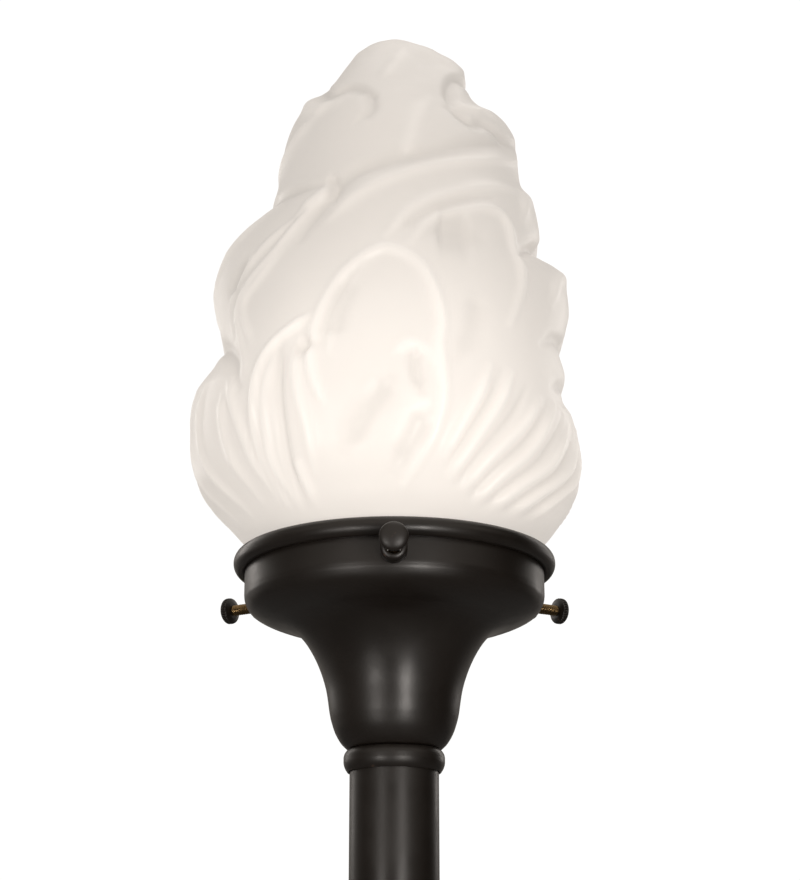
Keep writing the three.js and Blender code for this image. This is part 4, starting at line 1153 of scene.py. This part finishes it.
class TORCH_OT_holder(bpy.types.Operator):
    """Makes the spun bell with its rolled rim and the holes for the three bosses"""

    bl_idname = "torch.holder"
    bl_label = "Bell Holder"

    def execute(self, context):
        bell = make_object("spun_bell", lathe(bell_outline(), 192, closed=True), sharp_angle=50)
        holes = [cross_bar(BOSS_HOLE, CUP_RADIUS - 6, CUP_RADIUS + 1.5, azimuth, screw_height())
                 for azimuth in AZIMUTHS.values()]
        cut(bell, *holes)
        shade_smooth(bell.data, 50)
        place(bell, "shade_holder")
        return {"FINISHED"}


# ---- Thumbscrews ----
SCREW_RADIUS = 2.085
SCREW_BORE = 2.385
PIN_BORE = 1.3  # hole in the screw's tip that takes the pad's pin
BOSS_RADIUS = 4.65
SPIGOT_RADIUS = 3.4
HEAD_RADIUS = 5.0
HEAD_DEPTH = 4.2
KNURL_DEPTH = 0.34


def thread(outer, depth, pitch):
    """A shape that cuts a helical thread of that outer radius into a turned piece."""
    def shaped(radius, height, turn):
        phase = (height / pitch - turn / (2 * math.pi)) % 1.0
        tooth = np.abs(2 * phase - 1)
        return np.where(np.abs(radius - outer) < 1e-6, outer - depth * tooth, radius)
    return shaped


def threaded_rows(radius, start, end, pitch, per_turn=8):
    """Outline points close enough together for a thread to be cut into them."""
    count = max(2, int((end - start) / pitch * per_turn))
    return [(radius, z) for z in np.linspace(start, end, count)]


def head_shape(outer, teeth, low, high):
    """A shape that presses knurls into the edge of a head between two levels."""
    def shaped(radius, height, turn):
        tooth = 0.5 - 0.5 * np.cos(teeth * turn)
        on_edge = (height > low) & (height < high) & (radius > outer - 0.2)
        return np.where(on_edge, radius - KNURL_DEPTH * tooth, radius)
    return shaped


class TORCH_OT_thumbscrews(bpy.types.Operator):
    """Makes the three bosses, the knurled heads, their brass threads and the soft pads"""

    bl_idname = "torch.thumbscrews"
    bl_label = "Thumbscrews"

    def execute(self, context):
        sizes = context.scene.torch_sizes
        for side in SIDES:
            self.boss(side)
            self.head(side, sizes.knurls)
            self.shank(side, sizes.screw_pitch)
            self.pad(side)
        return {"FINISHED"}

    def reach(self, side, node):
        """The nearest and furthest distance of a node from the torch's axis, measured straight out."""
        mesh = frame["nodes"][node].data
        angle = math.radians(AZIMUTHS[side])
        out = [(v.co.x * math.cos(angle) + v.co.y * math.sin(angle)) / MM for v in mesh.vertices]
        return min(out), max(out)

    def turned(self, side, name, outline, sides, sharp_angle=38, **options):
        """A turned piece on one screw's axis."""
        solid = outward_lathe(outline, sides, AZIMUTHS[side], screw_height(), **options)
        return make_object(f"{side}_{name}", solid, sharp_angle)

    def boss(self, side):
        inner, outer = self.reach(side, f"{side}_screw_boss")
        seat = CUP_RADIUS + 0.3
        outline = rounded([
            (SCREW_BORE, inner), (SPIGOT_RADIUS, inner), (SPIGOT_RADIUS, seat), (BOSS_RADIUS, seat, 0.5),
            (BOSS_RADIUS, outer - 2.4, 0.4), (BOSS_RADIUS - 0.35, outer - 2.0, 0.2),
            (BOSS_RADIUS - 0.35, outer - 1.6, 0.2), (BOSS_RADIUS, outer - 1.3, 0.3),
            (BOSS_RADIUS - 0.1, outer - 0.5, 0.5), (BOSS_RADIUS - 1.1, outer, 0.4),
            (SCREW_BORE + 0.3, outer, 0.3),
        ], 0.25, closed=True)
        place(self.turned(side, "riveted_boss", outline, 64, closed=True), f"{side}_screw_boss")

    def head(self, side, teeth):
        apex = self.reach(side, f"{side}_thumbscrew")[1]
        back = apex - HEAD_DEPTH
        edge_start, edge_end = back + 0.8, back + 2.3
        face = rounded([
            (0.0, back), (3.0, back, 0.3), (HEAD_RADIUS - 0.4, edge_start - 0.25, 0.5),
            (HEAD_RADIUS, edge_start + 0.2, 0.2), (HEAD_RADIUS, edge_start + 0.6),
        ], 0.25)
        edge = [(HEAD_RADIUS, z) for z in np.linspace(edge_start + 0.7, edge_end - 0.2, 5)]
        dome = [(HEAD_RADIUS * math.cos(t), edge_end + (apex - edge_end) * math.sin(t))
                for t in np.linspace(0.12, math.pi / 2, 14)]
        dome[-1] = (0.0, apex)
        knurled = head_shape(HEAD_RADIUS, teeth, edge_start - 0.1, edge_end + 0.1)
        outline = np.vstack([face, edge, dome])
        head = self.turned(side, "knurled_head", outline, teeth * 8, sharp_angle=55, shape=knurled)
        place(head, f"{side}_thumbscrew")

    def shank(self, side, pitch):
        tip, apex = self.reach(side, f"{side}_thumbscrew")
        end = apex - HEAD_DEPTH - 0.1
        bottom = tip + 2.8
        outline = np.array(
            [(0, bottom), (PIN_BORE, bottom), (PIN_BORE, tip), (SCREW_RADIUS - 0.45, tip)]
            + threaded_rows(SCREW_RADIUS, tip + 0.35, end, pitch)
            + [(0, end)])
        shape = thread(SCREW_RADIUS, 0.38, pitch)
        shank = self.turned(side, "threaded_shank", outline, 32, sharp_angle=80, shape=shape)
        place(shank, f"{side}_thumbscrew", slot="brass", stands_for=False)

    def pad(self, side):
        near, far = self.reach(side, f"{side}_screw_pad")
        outline = rounded([
            (0, near), (1.6, near, 0.4), (1.9, near + 0.35, 0.3), (1.9, near + 1.6, 0.2),
            (1.0, near + 1.6, 0.1), (1.0, far, 0.25), (0, far),
        ], 0.2)
        place(self.turned(side, "soft_pad", outline, 40), f"{side}_screw_pad")


# ---- Pole, collar and cable inlet ----
POLE_RADIUS = 16.0
POLE_WALL = 1.5
POLE_BORE = 16.3  # hole of a piece that fits over the pole
COLLAR_WEB = 3.3
INLET_RADIUS = 5.0


class TORCH_OT_pole(bpy.types.Operator):
    """Makes the pole tube, its collar and bushing, and the rubber grommet of the cable inlet"""

    bl_idname = "torch.pole"
    bl_label = "Pole"

    def execute(self, context):
        low, high = levels("pole_tube")
        bore = POLE_RADIUS - POLE_WALL
        heights = np.linspace(low + 0.4, high - 0.4, 60)
        outline = ([(bore, low), (POLE_RADIUS - 0.4, low)] + [(POLE_RADIUS, z) for z in heights]
                   + [(POLE_RADIUS - 0.4, high), (bore, high)]
                   + [(bore, z) for z in heights[::-6]])
        tube = make_object("drawn_pole_tube", lathe(outline, 128, closed=True))
        inlet_level = middle_level("cable_grommet")
        cut(tube, cross_bar(INLET_RADIUS, 4.0, POLE_RADIUS + 3, 90.0, inlet_level, 48))
        tube.data.set_sharp_from_angle(angle=math.radians(38))
        place(tube, "pole_tube")
        self.collar()
        self.bushing()
        self.grommet(inlet_level)
        return {"FINISHED"}

    def collar(self):
        low, high = levels("neck_collar")
        outer = half_width("neck_collar")
        outline = rounded([
            (POLE_BORE, low), (POLE_BORE + 0.5, low, 0.2), (outer - 0.5, low + 1.4, 1.0),
            (outer, low + 3.0, 1.4), (outer, high - 2.0, 1.9), (outer - 1.3, high, 1.2),
            (NIPPLE_HOLE, high), (NIPPLE_HOLE, high - COLLAR_WEB), (POLE_BORE, high - COLLAR_WEB),
        ], 0.3, 6, closed=True)
        place(make_object("beaded_neck_collar", lathe(outline, 128, closed=True)), "neck_collar")

    def bushing(self):
        low, high = levels("pole_top_bushing")
        outer = half_width("pole_top_bushing")
        groove = (low + high) / 2
        outline = rounded([
            (NIPPLE_HOLE, low, 0.5), (outer, low, 0.8), (outer, groove - 1.5), (outer - 0.7, groove - 1.0),
            (outer - 0.7, groove + 1.0), (outer, groove + 1.5), (outer, high, 0.8),
            (NIPPLE_HOLE, high, 0.5),
        ], 0.3, closed=True)
        place(make_object("pressed_bushing", lathe(outline, 96, closed=True)), "pole_top_bushing")

    def grommet(self, level):
        low, high = span("cable_grommet")
        inner, outer = low[1], high[1]
        flange = (high[0] - low[0]) / 2
        bore = 3.2
        waist = 4.8
        outline = rounded([
            (bore, inner), (flange, inner, 0.5), (flange, inner + 1.6, 0.4), (waist, inner + 1.6),
            (waist, outer - 2.4), (flange, outer - 2.4, 0.4), (flange, outer - 1.2, 0.9),
            (flange - 1.4, outer, 0.8), (bore, outer, 0.7),
        ], 0.3, 4, closed=True)
        solid = outward_lathe(outline, 72, 90.0, level, closed=True)
        place(make_object("inlet_grommet", solid), "cable_grommet")


# ---- Stake ----
HUB_RADIUS = 21.5
POCKET_FLOOR = 8.0  # level on which the pole stands
FLANGE_DEPTH = 5.0
RIB_TOP = 17.0
BLADE_REACH = 21.0
BLADE_TIP = 1.5
BLADE_THICKNESS = 4.5
CLAMP_HOLE = 2.8
CLAMP_RADIUS = 2.5
CLAMP_PITCH = 0.8


class TORCH_OT_stake(bpy.types.Operator):
    """Makes the moulded ground stake with its ribs and the clamp screw"""

    bl_idname = "torch.stake"
    bl_label = "Ground Stake"

    def execute(self, context):
        low, high = span("ground_stake")
        flange = high[0]
        hub = HUB_RADIUS
        rim = FLANGE_DEPTH
        foot, top = low[2], high[2]
        outline = rounded([
            (0, 0), (flange - 0.5, 0, 0.4), (flange, 0.5, 0.4), (flange, rim * 0.6, 0.8),
            (flange - 2.6, rim, 0.8), (hub + 3, rim, 2.0), (hub, rim + 5, 2.0), (hub, top - 1.5, 0.6),
            (hub - 1.5, top, 0.6), (POLE_BORE + 0.3, top, 0.3), (POLE_BORE, top - 0.6, 0.3),
            (POLE_BORE, POCKET_FLOOR, 1.0), (0, POCKET_FLOOR),
        ], 0.3, 4)
        stake = make_object("moulded_stake", lathe(outline, 96))
        blade = [
            (1.0, BLADE_REACH), (foot * 0.12, BLADE_REACH), (foot * 0.55, BLADE_REACH * 0.62),
            (foot + 1.2, BLADE_TIP + 0.3), (foot, BLADE_TIP),
        ]
        fins = [self.fin(blade, BLADE_THICKNESS / 2, across) for across in (False, True)]
        count = context.scene.torch_sizes.stake_ribs
        ribs = [self.rib(hub, flange - 6, rim, RIB_TOP, 360.0 * (i + 0.5) / count) for i in range(count)]
        cut(stake, *fins, *ribs, operation="UNION")
        screw_level = middle_level("pole_clamp_screw")
        cut(stake, cross_bar(CLAMP_HOLE, POLE_BORE - 1, hub + 2, 0.0, screw_level, 40))
        soften(stake, 0.5)
        shade_smooth(stake.data, 40)
        place(stake, "ground_stake")
        self.clamp_screw(screw_level)
        return {"FINISHED"}

    def fin(self, blade, half_thick, across):
        """One of the two crossed blades, from (level, reach) points. It thins towards its foot."""
        points = []
        for level, reach in blade:
            thick = half_thick * (0.45 + 0.55 * blend_step(level, blade[-1][0], blade[-1][0] * 0.75))
            for x, y in ((-reach, -thick), (reach, -thick), (reach, thick), (-reach, thick)):
                points.append((y, x, level) if across else (x, y, level))
        last = 4 * (len(blade) - 1)
        faces = grid_faces(len(blade), 4) + [[0, 1, 2, 3], [last + 3, last + 2, last + 1, last]]
        return np.array(points, float), faces

    def rib(self, start, end, low, high, azimuth):
        """A sloping web between the hub and the flange."""
        half = 1.3
        outline = [
            (start - 1, low - 1), (end, low - 1), (end, low + 0.8), (start + 4, high - 3), (start - 1, high),
        ]
        points = [(half * side, z, out) for side in (-1, 1) for out, z in outline]
        count = len(outline)
        faces = [list(range(count)), list(range(count, 2 * count))[::-1]]
        faces += [[i, (i + 1) % count, count + (i + 1) % count, count + i] for i in range(count)]
        return turned_to(points, azimuth, 0.0), faces

    def clamp_screw(self, level):
        low, high = span("pole_clamp_screw")
        tip, top = low[0], high[0]
        seat = top - 3.2
        head = rounded(
            [(2.3, seat), (4.6, seat, 0.3), (4.6, seat + 1.9, 1.4), (3.0, top, 0.5), (0, top)], 0.3, 5)
        rows = threaded_rows(CLAMP_RADIUS, tip + 0.4, seat - 0.3, CLAMP_PITCH)
        outline = np.vstack([[(0, tip), (1.9, tip)], rows, head])
        shape = thread(CLAMP_RADIUS, 0.4, CLAMP_PITCH)
        solid = outward_lathe(outline, 48, 0.0, level, shape=shape)
        screw = make_object("clamp_screw", solid, sharp_angle=60)
        for wide, high_half in ((0.5, 2.2), (2.2, 0.5)):
            cut(screw, block((top - 1.6, -wide, level - high_half), (top + 1, wide, level + high_half)))
        shade_smooth(screw.data, 45)
        place(screw, "pole_clamp_screw")


# ---- Threaded nipple and its fasteners ----
NIPPLE_RADIUS = 4.86
NIPPLE_BORE = 3.4


class TORCH_OT_nipple(bpy.types.Operator):
    """Makes the threaded nipple, its toothed washer, hex nut and spacer"""

    bl_idname = "torch.nipple"
    bl_label = "Nipple and Fasteners"

    def execute(self, context):
        pitch = context.scene.torch_sizes.nipple_pitch
        low, high = levels("lamp_nipple")
        outline = ([(NIPPLE_BORE, low), (NIPPLE_RADIUS - 0.55, low)]
                   + threaded_rows(NIPPLE_RADIUS, low + 0.4, high - 0.4, pitch)
                   + [(NIPPLE_RADIUS - 0.55, high), (NIPPLE_BORE, high)])
        solid = lathe(outline, 48, closed=True, shape=thread(NIPPLE_RADIUS, 0.45, pitch))
        place(make_object("threaded_nipple", solid, sharp_angle=80), "lamp_nipple")
        self.washer()
        self.nut()
        self.spacer()
        return {"FINISHED"}

    def spacer(self):
        low, high = levels("socket_spacer")
        outer = half_width("socket_spacer")
        outline = rounded([
            (NIPPLE_HOLE, low, 0.4), (outer, low, 0.6), (outer, low + 2.4), (outer - 0.5, low + 2.9),
            (outer - 0.5, high - 2.9), (outer, high - 2.4), (outer, high, 0.6), (NIPPLE_HOLE, high, 0.4),
        ], 0.25, closed=True)
        place(make_object("turned_spacer", lathe(outline, 96, closed=True)), "socket_spacer")

    def washer(self):
        low, high = levels("nipple_lock_washer")
        outer = half_width("nipple_lock_washer")
        teeth = 12

        def toothed(radius, height, turn):
            gap = blend_step(np.cos(teeth * turn), 0.1, 0.5)
            return np.where(radius > outer - 0.5, radius - 1.5 * gap, radius)

        outline = rounded(
            [(NIPPLE_HOLE, low), (outer, low), (outer, high), (NIPPLE_HOLE, high)], 0.2, closed=True)
        washer = make_object("toothed_washer", lathe(outline, 192, closed=True, shape=toothed))
        place(washer, "nipple_lock_washer")

    def nut(self):
        low, high = span("nipple_hex_nut")
        flats = min(high[0] - low[0], high[1] - low[1]) / 2
        corner = flats / math.cos(math.pi / 6)
        first = math.pi / 2 if high[1] - low[1] > high[0] - low[0] else 0.0

        def six_sided(radius, height, turn):
            from_corner = (turn - first) % (math.pi / 3) - math.pi / 6
            side = flats / np.cos(from_corner)
            top = np.minimum(height - low[2], high[2] - height)
            chamfered = corner - 0.9 + top * 1.8
            trimmed = np.minimum(np.minimum(radius, side), chamfered)
            return np.where(radius > NIPPLE_HOLE + 1.5, trimmed, radius)

        outline = [(NIPPLE_HOLE + 0.4, low[2]), (flats - 1, low[2])]
        outline += [(corner, low[2] + rise) for rise in (0.0, 0.15, 0.3, 0.5, 0.8)]
        outline += [(corner, high[2] - rise) for rise in (0.8, 0.5, 0.3, 0.15, 0.0)]
        outline += [(flats - 1, high[2]), (NIPPLE_HOLE + 0.4, high[2]), (NIPPLE_HOLE, high[2] - 0.4),
                    (NIPPLE_HOLE, low[2] + 0.4)]
        nut = make_object("chamfered_hex_nut", lathe(outline, 192, closed=True, shape=six_sided))
        place(nut, "nipple_hex_nut")


# ---- Socket ----
BASE_PITCH = 3.6  # pitch of the thread that the bulb screws in by


def rolled_thread(depth, pitch, low, high):
    """A shape that rolls a round-bottomed thread into a thin shell between two levels."""
    def shaped(radius, height, turn):
        phase = 2 * math.pi * height / pitch - turn
        share = blend_step(height, low, low + 2) * blend_step(high - height, 0, 2)
        return radius - depth * share * (0.5 - 0.5 * np.cos(phase))
    return shaped


class TORCH_OT_socket(bpy.types.Operator):
    """Makes the lamp socket: cap, shell, liner, porcelain body, contacts and terminals"""

    bl_idname = "torch.socket"
    bl_label = "Lamp Socket"

    def execute(self, context):
        self.cap()
        self.shell()
        self.liner()
        self.porcelain_body()
        self.contact()
        self.screw_shell()
        for node in ("line_terminal", "neutral_terminal"):
            self.terminal(node)
        return {"FINISHED"}

    def cap(self):
        low, high = levels("socket_cap")
        outer = half_width("socket_cap")
        outline = rounded([
            (NIPPLE_HOLE, low), (8.26, low, 0.8), (8.26, low + 5, 1.4), (outer - 4, low + 8, 1.5),
            (outer - 1, low + 11.5, 2.0), (outer, low + 15, 1.5), (outer, high - 1.5, 0.3),
            (outer - 0.25, high - 0.9, 0.2), (outer, high, 0.3), (outer - 0.9, high, 0.3),
            (outer - 0.9, low + 15, 1.5), (outer - 1.9, low + 12, 2.0), (outer - 4.6, low + 9, 1.5),
            (NIPPLE_HOLE, low + 7, 0.4),
        ], 0.3, 6, closed=True)
        cap = make_object("spun_socket_cap", lathe(outline, 128, closed=True))
        place(cap, "socket_cap")

    def shell(self):
        low, high = levels("socket_shell")
        outer = half_width("socket_shell") - 0.5
        rows = [(outer - 0.9, low), (outer, low, 0.3)]
        for level in (low + 2.2, low + 4.0):
            rows += [(outer, level), (outer - 0.35, level + 0.5), (outer, level + 1.0)]
        rows += [
            (outer, high - 5.0), (outer - 0.3, high - 4.4), (outer - 0.3, high - 2.6), (outer, high - 2.0),
            (outer, high - 1.2), (outer + 0.5, high - 0.6, 0.4), (outer, high, 0.4),
            (outer - 0.9, high, 0.3),
        ]
        outline = rounded(rows, 0.3, 4, closed=True)
        place(make_object("brass_socket_shell", lathe(outline, 128, closed=True)), "socket_shell")

    def liner(self):
        low, high = levels("socket_liner")
        outer = half_width("socket_liner")
        inner = outer - 0.6
        outline = rounded([(inner, low), (outer, low), (outer, high), (inner, high)], 0.2, closed=True)

        def lapped(radius, height, turn):
            return radius - 0.12 * blend_step(np.cos(turn), 0.9, 1.0)

        place(make_object("fibre_liner", lathe(outline, 96, closed=True, shape=lapped)), "socket_liner")

    def porcelain_body(self):
        low, high = levels("socket_body")
        outer = half_width("socket_body")
        terminal_low, terminal_high = span("line_terminal")
        slot_half_width = (terminal_high[1] - terminal_low[1]) / 2 + 0.6
        slot_top = terminal_high[2] + 0.4
        floor = terminal_low[0] - 0.3
        outline = rounded([
            (0, low), (outer - 1.2, low, 0.5), (outer, low + 1.2, 0.6), (outer, high - 1.0, 0.6),
            (outer - 1.0, high, 0.5), (6.4, high, 0.4), (6.0, high - 0.6, 0.4), (0, high - 0.6),
        ], 0.3, 4)
        body = make_object("porcelain_body", lathe(outline, 96))
        for side in (1, -1):
            reach = sorted((side * floor, side * (outer + 3)))
            cut(body, block((reach[0], -slot_half_width, low - 1), (reach[1], slot_half_width, slot_top)))
        soften(body, 0.3)
        place(body, "socket_body")

    def contact(self):
        low, high = levels("centre_contact")
        outer = half_width("centre_contact")
        outline = rounded([
            (0, low), (outer, low, 0.2), (outer, low + 0.6, 0.2), (outer * 0.55, low + 0.8, 0.4),
            (outer * 0.4, high, 0.4), (0, high),
        ], 0.2, 4)
        place(make_object("centre_spring_contact", lathe(outline, 64)), "centre_contact")

    def screw_shell(self):
        low, high = levels("socket_screw_shell")
        outer = half_width("socket_screw_shell")
        heights = np.linspace(low, high, 60)
        outline = [(outer, z) for z in heights] + [(outer - 0.5, z) for z in heights[::-1]]
        shape = rolled_thread(0.45, BASE_PITCH, low + 1.5, high - 1)
        shell = make_object("copper_screw_shell", lathe(outline, 96, closed=True, shape=shape))
        place(shell, "socket_screw_shell")

    def terminal(self, node):
        low, high = span(node)
        side = 1 if high[0] > 0 else -1
        near, far = sorted((abs(low[0]), abs(high[0])))
        radius = (high[1] - low[1]) / 2
        outline = rounded([
            (0, near), (radius * 0.8, near), (radius, near + 0.4, 0.3), (radius, near + 1.2, 0.4),
            (radius * 0.7, far - 0.25, 0.5), (0, far),
        ], 0.2, 5)
        level = (low[2] + high[2]) / 2
        azimuth = 0.0 if side > 0 else 180.0
        screw = make_object(f"{node}_screw", outward_lathe(outline, 48, azimuth, level))
        slot = sorted((side * (far - 0.9), side * (far + 1)))
        cut(screw, block((slot[0], -radius - 1, level - 0.35), (slot[1], radius + 1, level + 0.35)))
        screw.data.set_sharp_from_angle(angle=math.radians(40))
        place(screw, node)


# ---- Leads ----
LEAD_RADIUS = 1.2


class TORCH_OT_leads(bpy.types.Operator):
    """Makes the two insulated leads that run from the cable inlet up to the terminals"""

    bl_idname = "torch.leads"
    bl_label = "Leads"

    def execute(self, context):
        high = span("line_lead")[1]
        inlet = middle_level("cable_grommet")
        nipple_top = levels("lamp_nipple")[1]
        bushing = levels("pole_top_bushing")[0]
        beside = LEAD_RADIUS + 0.3
        apart = beside + 0.2
        end_level = high[2] - LEAD_RADIUS * 0.7
        corners = [
            (beside, high[1], inlet), (beside, 6, inlet + 0.6), (beside, 2.6, inlet + 3.4),
            (beside + 0.1, 0.8, inlet + 9), (apart, 0, inlet + 18), (apart, 0, inlet + 40),
            (apart, 0, (inlet + bushing) / 2), (apart, 0, bushing), (apart, 0, nipple_top - 6),
            (apart, 0, nipple_top + 1.2), (apart + 0.6, 0, nipple_top + 2.6),
            (apart + 2.5, 0, nipple_top + 3.7), (9, 0, end_level),
        ]
        for side, node in ((1, "line_lead"), (-1, "neutral_lead")):
            route = smooth_path([(side * x, y, z) for x, y, z in corners], 8)
            lead = make_object(f"{node}_wire", swept(route, LEAD_RADIUS, 20), sharp_angle=60)
            place(lead, node)
        return {"FINISHED"}


# ---- Bulb ----
class TORCH_OT_bulb(bpy.types.Operator):
    """Makes the bulb: contact, insulator, threaded base, glass, stem, coiled filament and its supports"""

    bl_idname = "torch.bulb"
    bl_label = "Bulb"

    def execute(self, context):
        self.contact()
        self.base()
        self.glass()
        self.stem()
        self.filament()
        return {"FINISHED"}

    def contact(self):
        low, high = levels("bulb_tip_contact")
        outer = half_width("bulb_tip_contact")
        outline = rounded([
            (0, low), (outer * 0.6, low, 0.4), (outer, low + 0.35, 0.3), (outer, high, 0.2), (0, high),
        ], 0.2, 4)
        place(make_object("solder_tip", lathe(outline, 64)), "bulb_tip_contact")
        low, high = levels("bulb_insulator")
        outer = half_width("bulb_insulator")
        outline = rounded(
            [(0, low), (5.2, low, 0.5), (outer, high - 0.3, 0.3), (outer, high, 0.1), (0, high)], 0.2, 4)
        place(make_object("base_insulator", lathe(outline, 96)), "bulb_insulator")

    def base(self):
        low, high = levels("bulb_base")
        outer = half_width("bulb_base")
        side = [(outer, z) for z in np.linspace(low + 3, high, 64)]
        inner_side = [(outer - 0.9, z) for z in np.linspace(high, low + 3.4, 16)]
        outline = [(outer - 4, low), (outer - 1.6, low), (outer - 0.7, low + 1.1)] + side + inner_side + [
            (outer - 1.6, low + 1.6), (outer - 4, low + 0.8)]
        rolled = rolled_thread(0.7, BASE_PITCH, low + 3, high - 4)

        def threaded(radius, height, turn):
            return np.where(radius > outer - 0.1, rolled(radius, height, turn), radius)

        place(make_object("bulb_screw_base", lathe(outline, 96, closed=True, shape=threaded)), "bulb_base")

    def glass(self):
        low, high = levels("bulb_glass")
        radius = half_width("bulb_glass")
        wall = 0.8
        base_top = levels("bulb_base")[1]
        neck = 12.0
        middle = high - radius
        knots = [(neck, low), (neck, base_top), (neck + 0.5, base_top + 4.3)]
        knots += [(radius * reach, base_top + 3 + (middle - base_top - 3) * part)
                  for part, reach in ((0.22, 0.5), (0.42, 0.64), (0.62, 0.8), (0.8, 0.92))]
        side = smooth_path(knots + [(radius, middle)], 6)
        turns = np.linspace(0, math.pi / 2, 26)[1:]
        crown = np.stack([radius * np.cos(turns), middle + radius * np.sin(turns)], axis=1)
        outer = np.vstack([side, crown])
        along = np.gradient(outer, axis=0)
        along /= np.linalg.norm(along, axis=1)[:, None]
        inner = outer + wall * np.stack([-along[:, 1], along[:, 0]], axis=1)
        outer[-1] = (0, high)
        inner[-1] = (0, high - wall)
        inner[0][1] = low
        sides = 96
        points, faces = lathe(np.vstack([outer, inner[::-1]]), sides, closed=True)
        # The outer and the inner skin join at the neck only, not where each closes at the top.
        inside = len(outer) * sides
        faces = [face for face in faces if max(face) < inside or min(face) >= inside or min(face) < sides]
        place(make_object("frosted_bulb", (points, faces), sharp_angle=60), "bulb_glass")

    def stem(self):
        low, high = levels("bulb_stem")
        outer = half_width("bulb_stem")
        outline = rounded([
            (0, low), (outer, low, 0.3), (outer, low + 1.4, 0.6), (4.0, low + 8, 4.0), (2.6, low + 16, 3.0),
            (2.4, high - 2.6, 0.8), (3.1, high - 1.5, 0.8), (2.4, high, 0.8), (0, high),
        ], 0.3, 6)
        place(make_object("glass_stem", lathe(outline, 72)), "bulb_stem")

    def filament(self):
        low, high = span("bulb_filament")
        reach = high[0] - 0.6
        sag = 3.0
        top = high[2] - 0.6
        coils = 34
        turns = np.linspace(-1, 1, coils * 10)
        coil_radius = 0.42
        phase = turns * coils * math.pi
        route = np.stack([
            turns * reach,
            coil_radius * np.cos(phase),
            top - sag * np.cos(turns * math.pi / 2) + coil_radius * np.sin(phase),
        ], axis=1)
        place(make_object("coiled_filament", swept(route, 0.16, 8), sharp_angle=80), "bulb_filament")
        stem_top = levels("bulb_stem")[1]
        for side, node in ((-1, "left_filament_support"), (1, "right_filament_support")):
            low, high = span(node)
            foot, top = low[2], high[2]
            far = max(abs(low[0]), abs(high[0])) - 0.35
            corners = [
                (3.9, foot), (4.2, (foot + stem_top) / 2), (4.4, stem_top),
                ((4.4 + far) / 2, (stem_top + top) / 2 + 0.4), (far, top - 0.3),
            ]
            route = smooth_path([(side * x, 0, z) for x, z in corners], 8)
            place(make_object(f"{node}_wire", swept(route, 0.4, 12), sharp_angle=60), node)


# ---- Panel ----
OPERATORS = [
    TORCH_OT_stage, TORCH_OT_flame, TORCH_OT_holder, TORCH_OT_thumbscrews, TORCH_OT_pole, TORCH_OT_stake,
    TORCH_OT_nipple, TORCH_OT_socket, TORCH_OT_leads, TORCH_OT_bulb,
]


class TORCH_PT_panel(bpy.types.Panel):
    bl_label = "Garden Torch"
    bl_idname = "TORCH_PT_panel"
    bl_space_type = "VIEW_3D"
    bl_region_type = "UI"
    bl_category = "Torch"

    def draw(self, context):
        layout = self.layout
        for group in (context.scene.torch_sizes, context.scene.torch_colours):
            box = layout.box()
            for name in group.__annotations__:
                box.prop(group, name)
        for operator in OPERATORS:
            layout.operator(operator.bl_idname)


CLASSES = [TorchSizes, TorchColours, *OPERATORS, TORCH_PT_panel]


def register():
    for cls in CLASSES:
        bpy.utils.register_class(cls)
    bpy.types.Scene.torch_sizes = PointerProperty(type=TorchSizes)
    bpy.types.Scene.torch_colours = PointerProperty(type=TorchColours)


def unregister():
    del bpy.types.Scene.torch_colours
    del bpy.types.Scene.torch_sizes
    for cls in reversed(CLASSES):
        bpy.utils.unregister_class(cls)


def main():
    register()
    bpy.ops.torch.stage()
    bpy.ops.torch.flame()
    bpy.ops.torch.holder()
    bpy.ops.torch.thumbscrews()
    bpy.ops.torch.pole()
    bpy.ops.torch.stake()
    bpy.ops.torch.nipple()
    bpy.ops.torch.socket()
    bpy.ops.torch.leads()
    bpy.ops.torch.bulb()


if __name__ == "__main__":
    main()
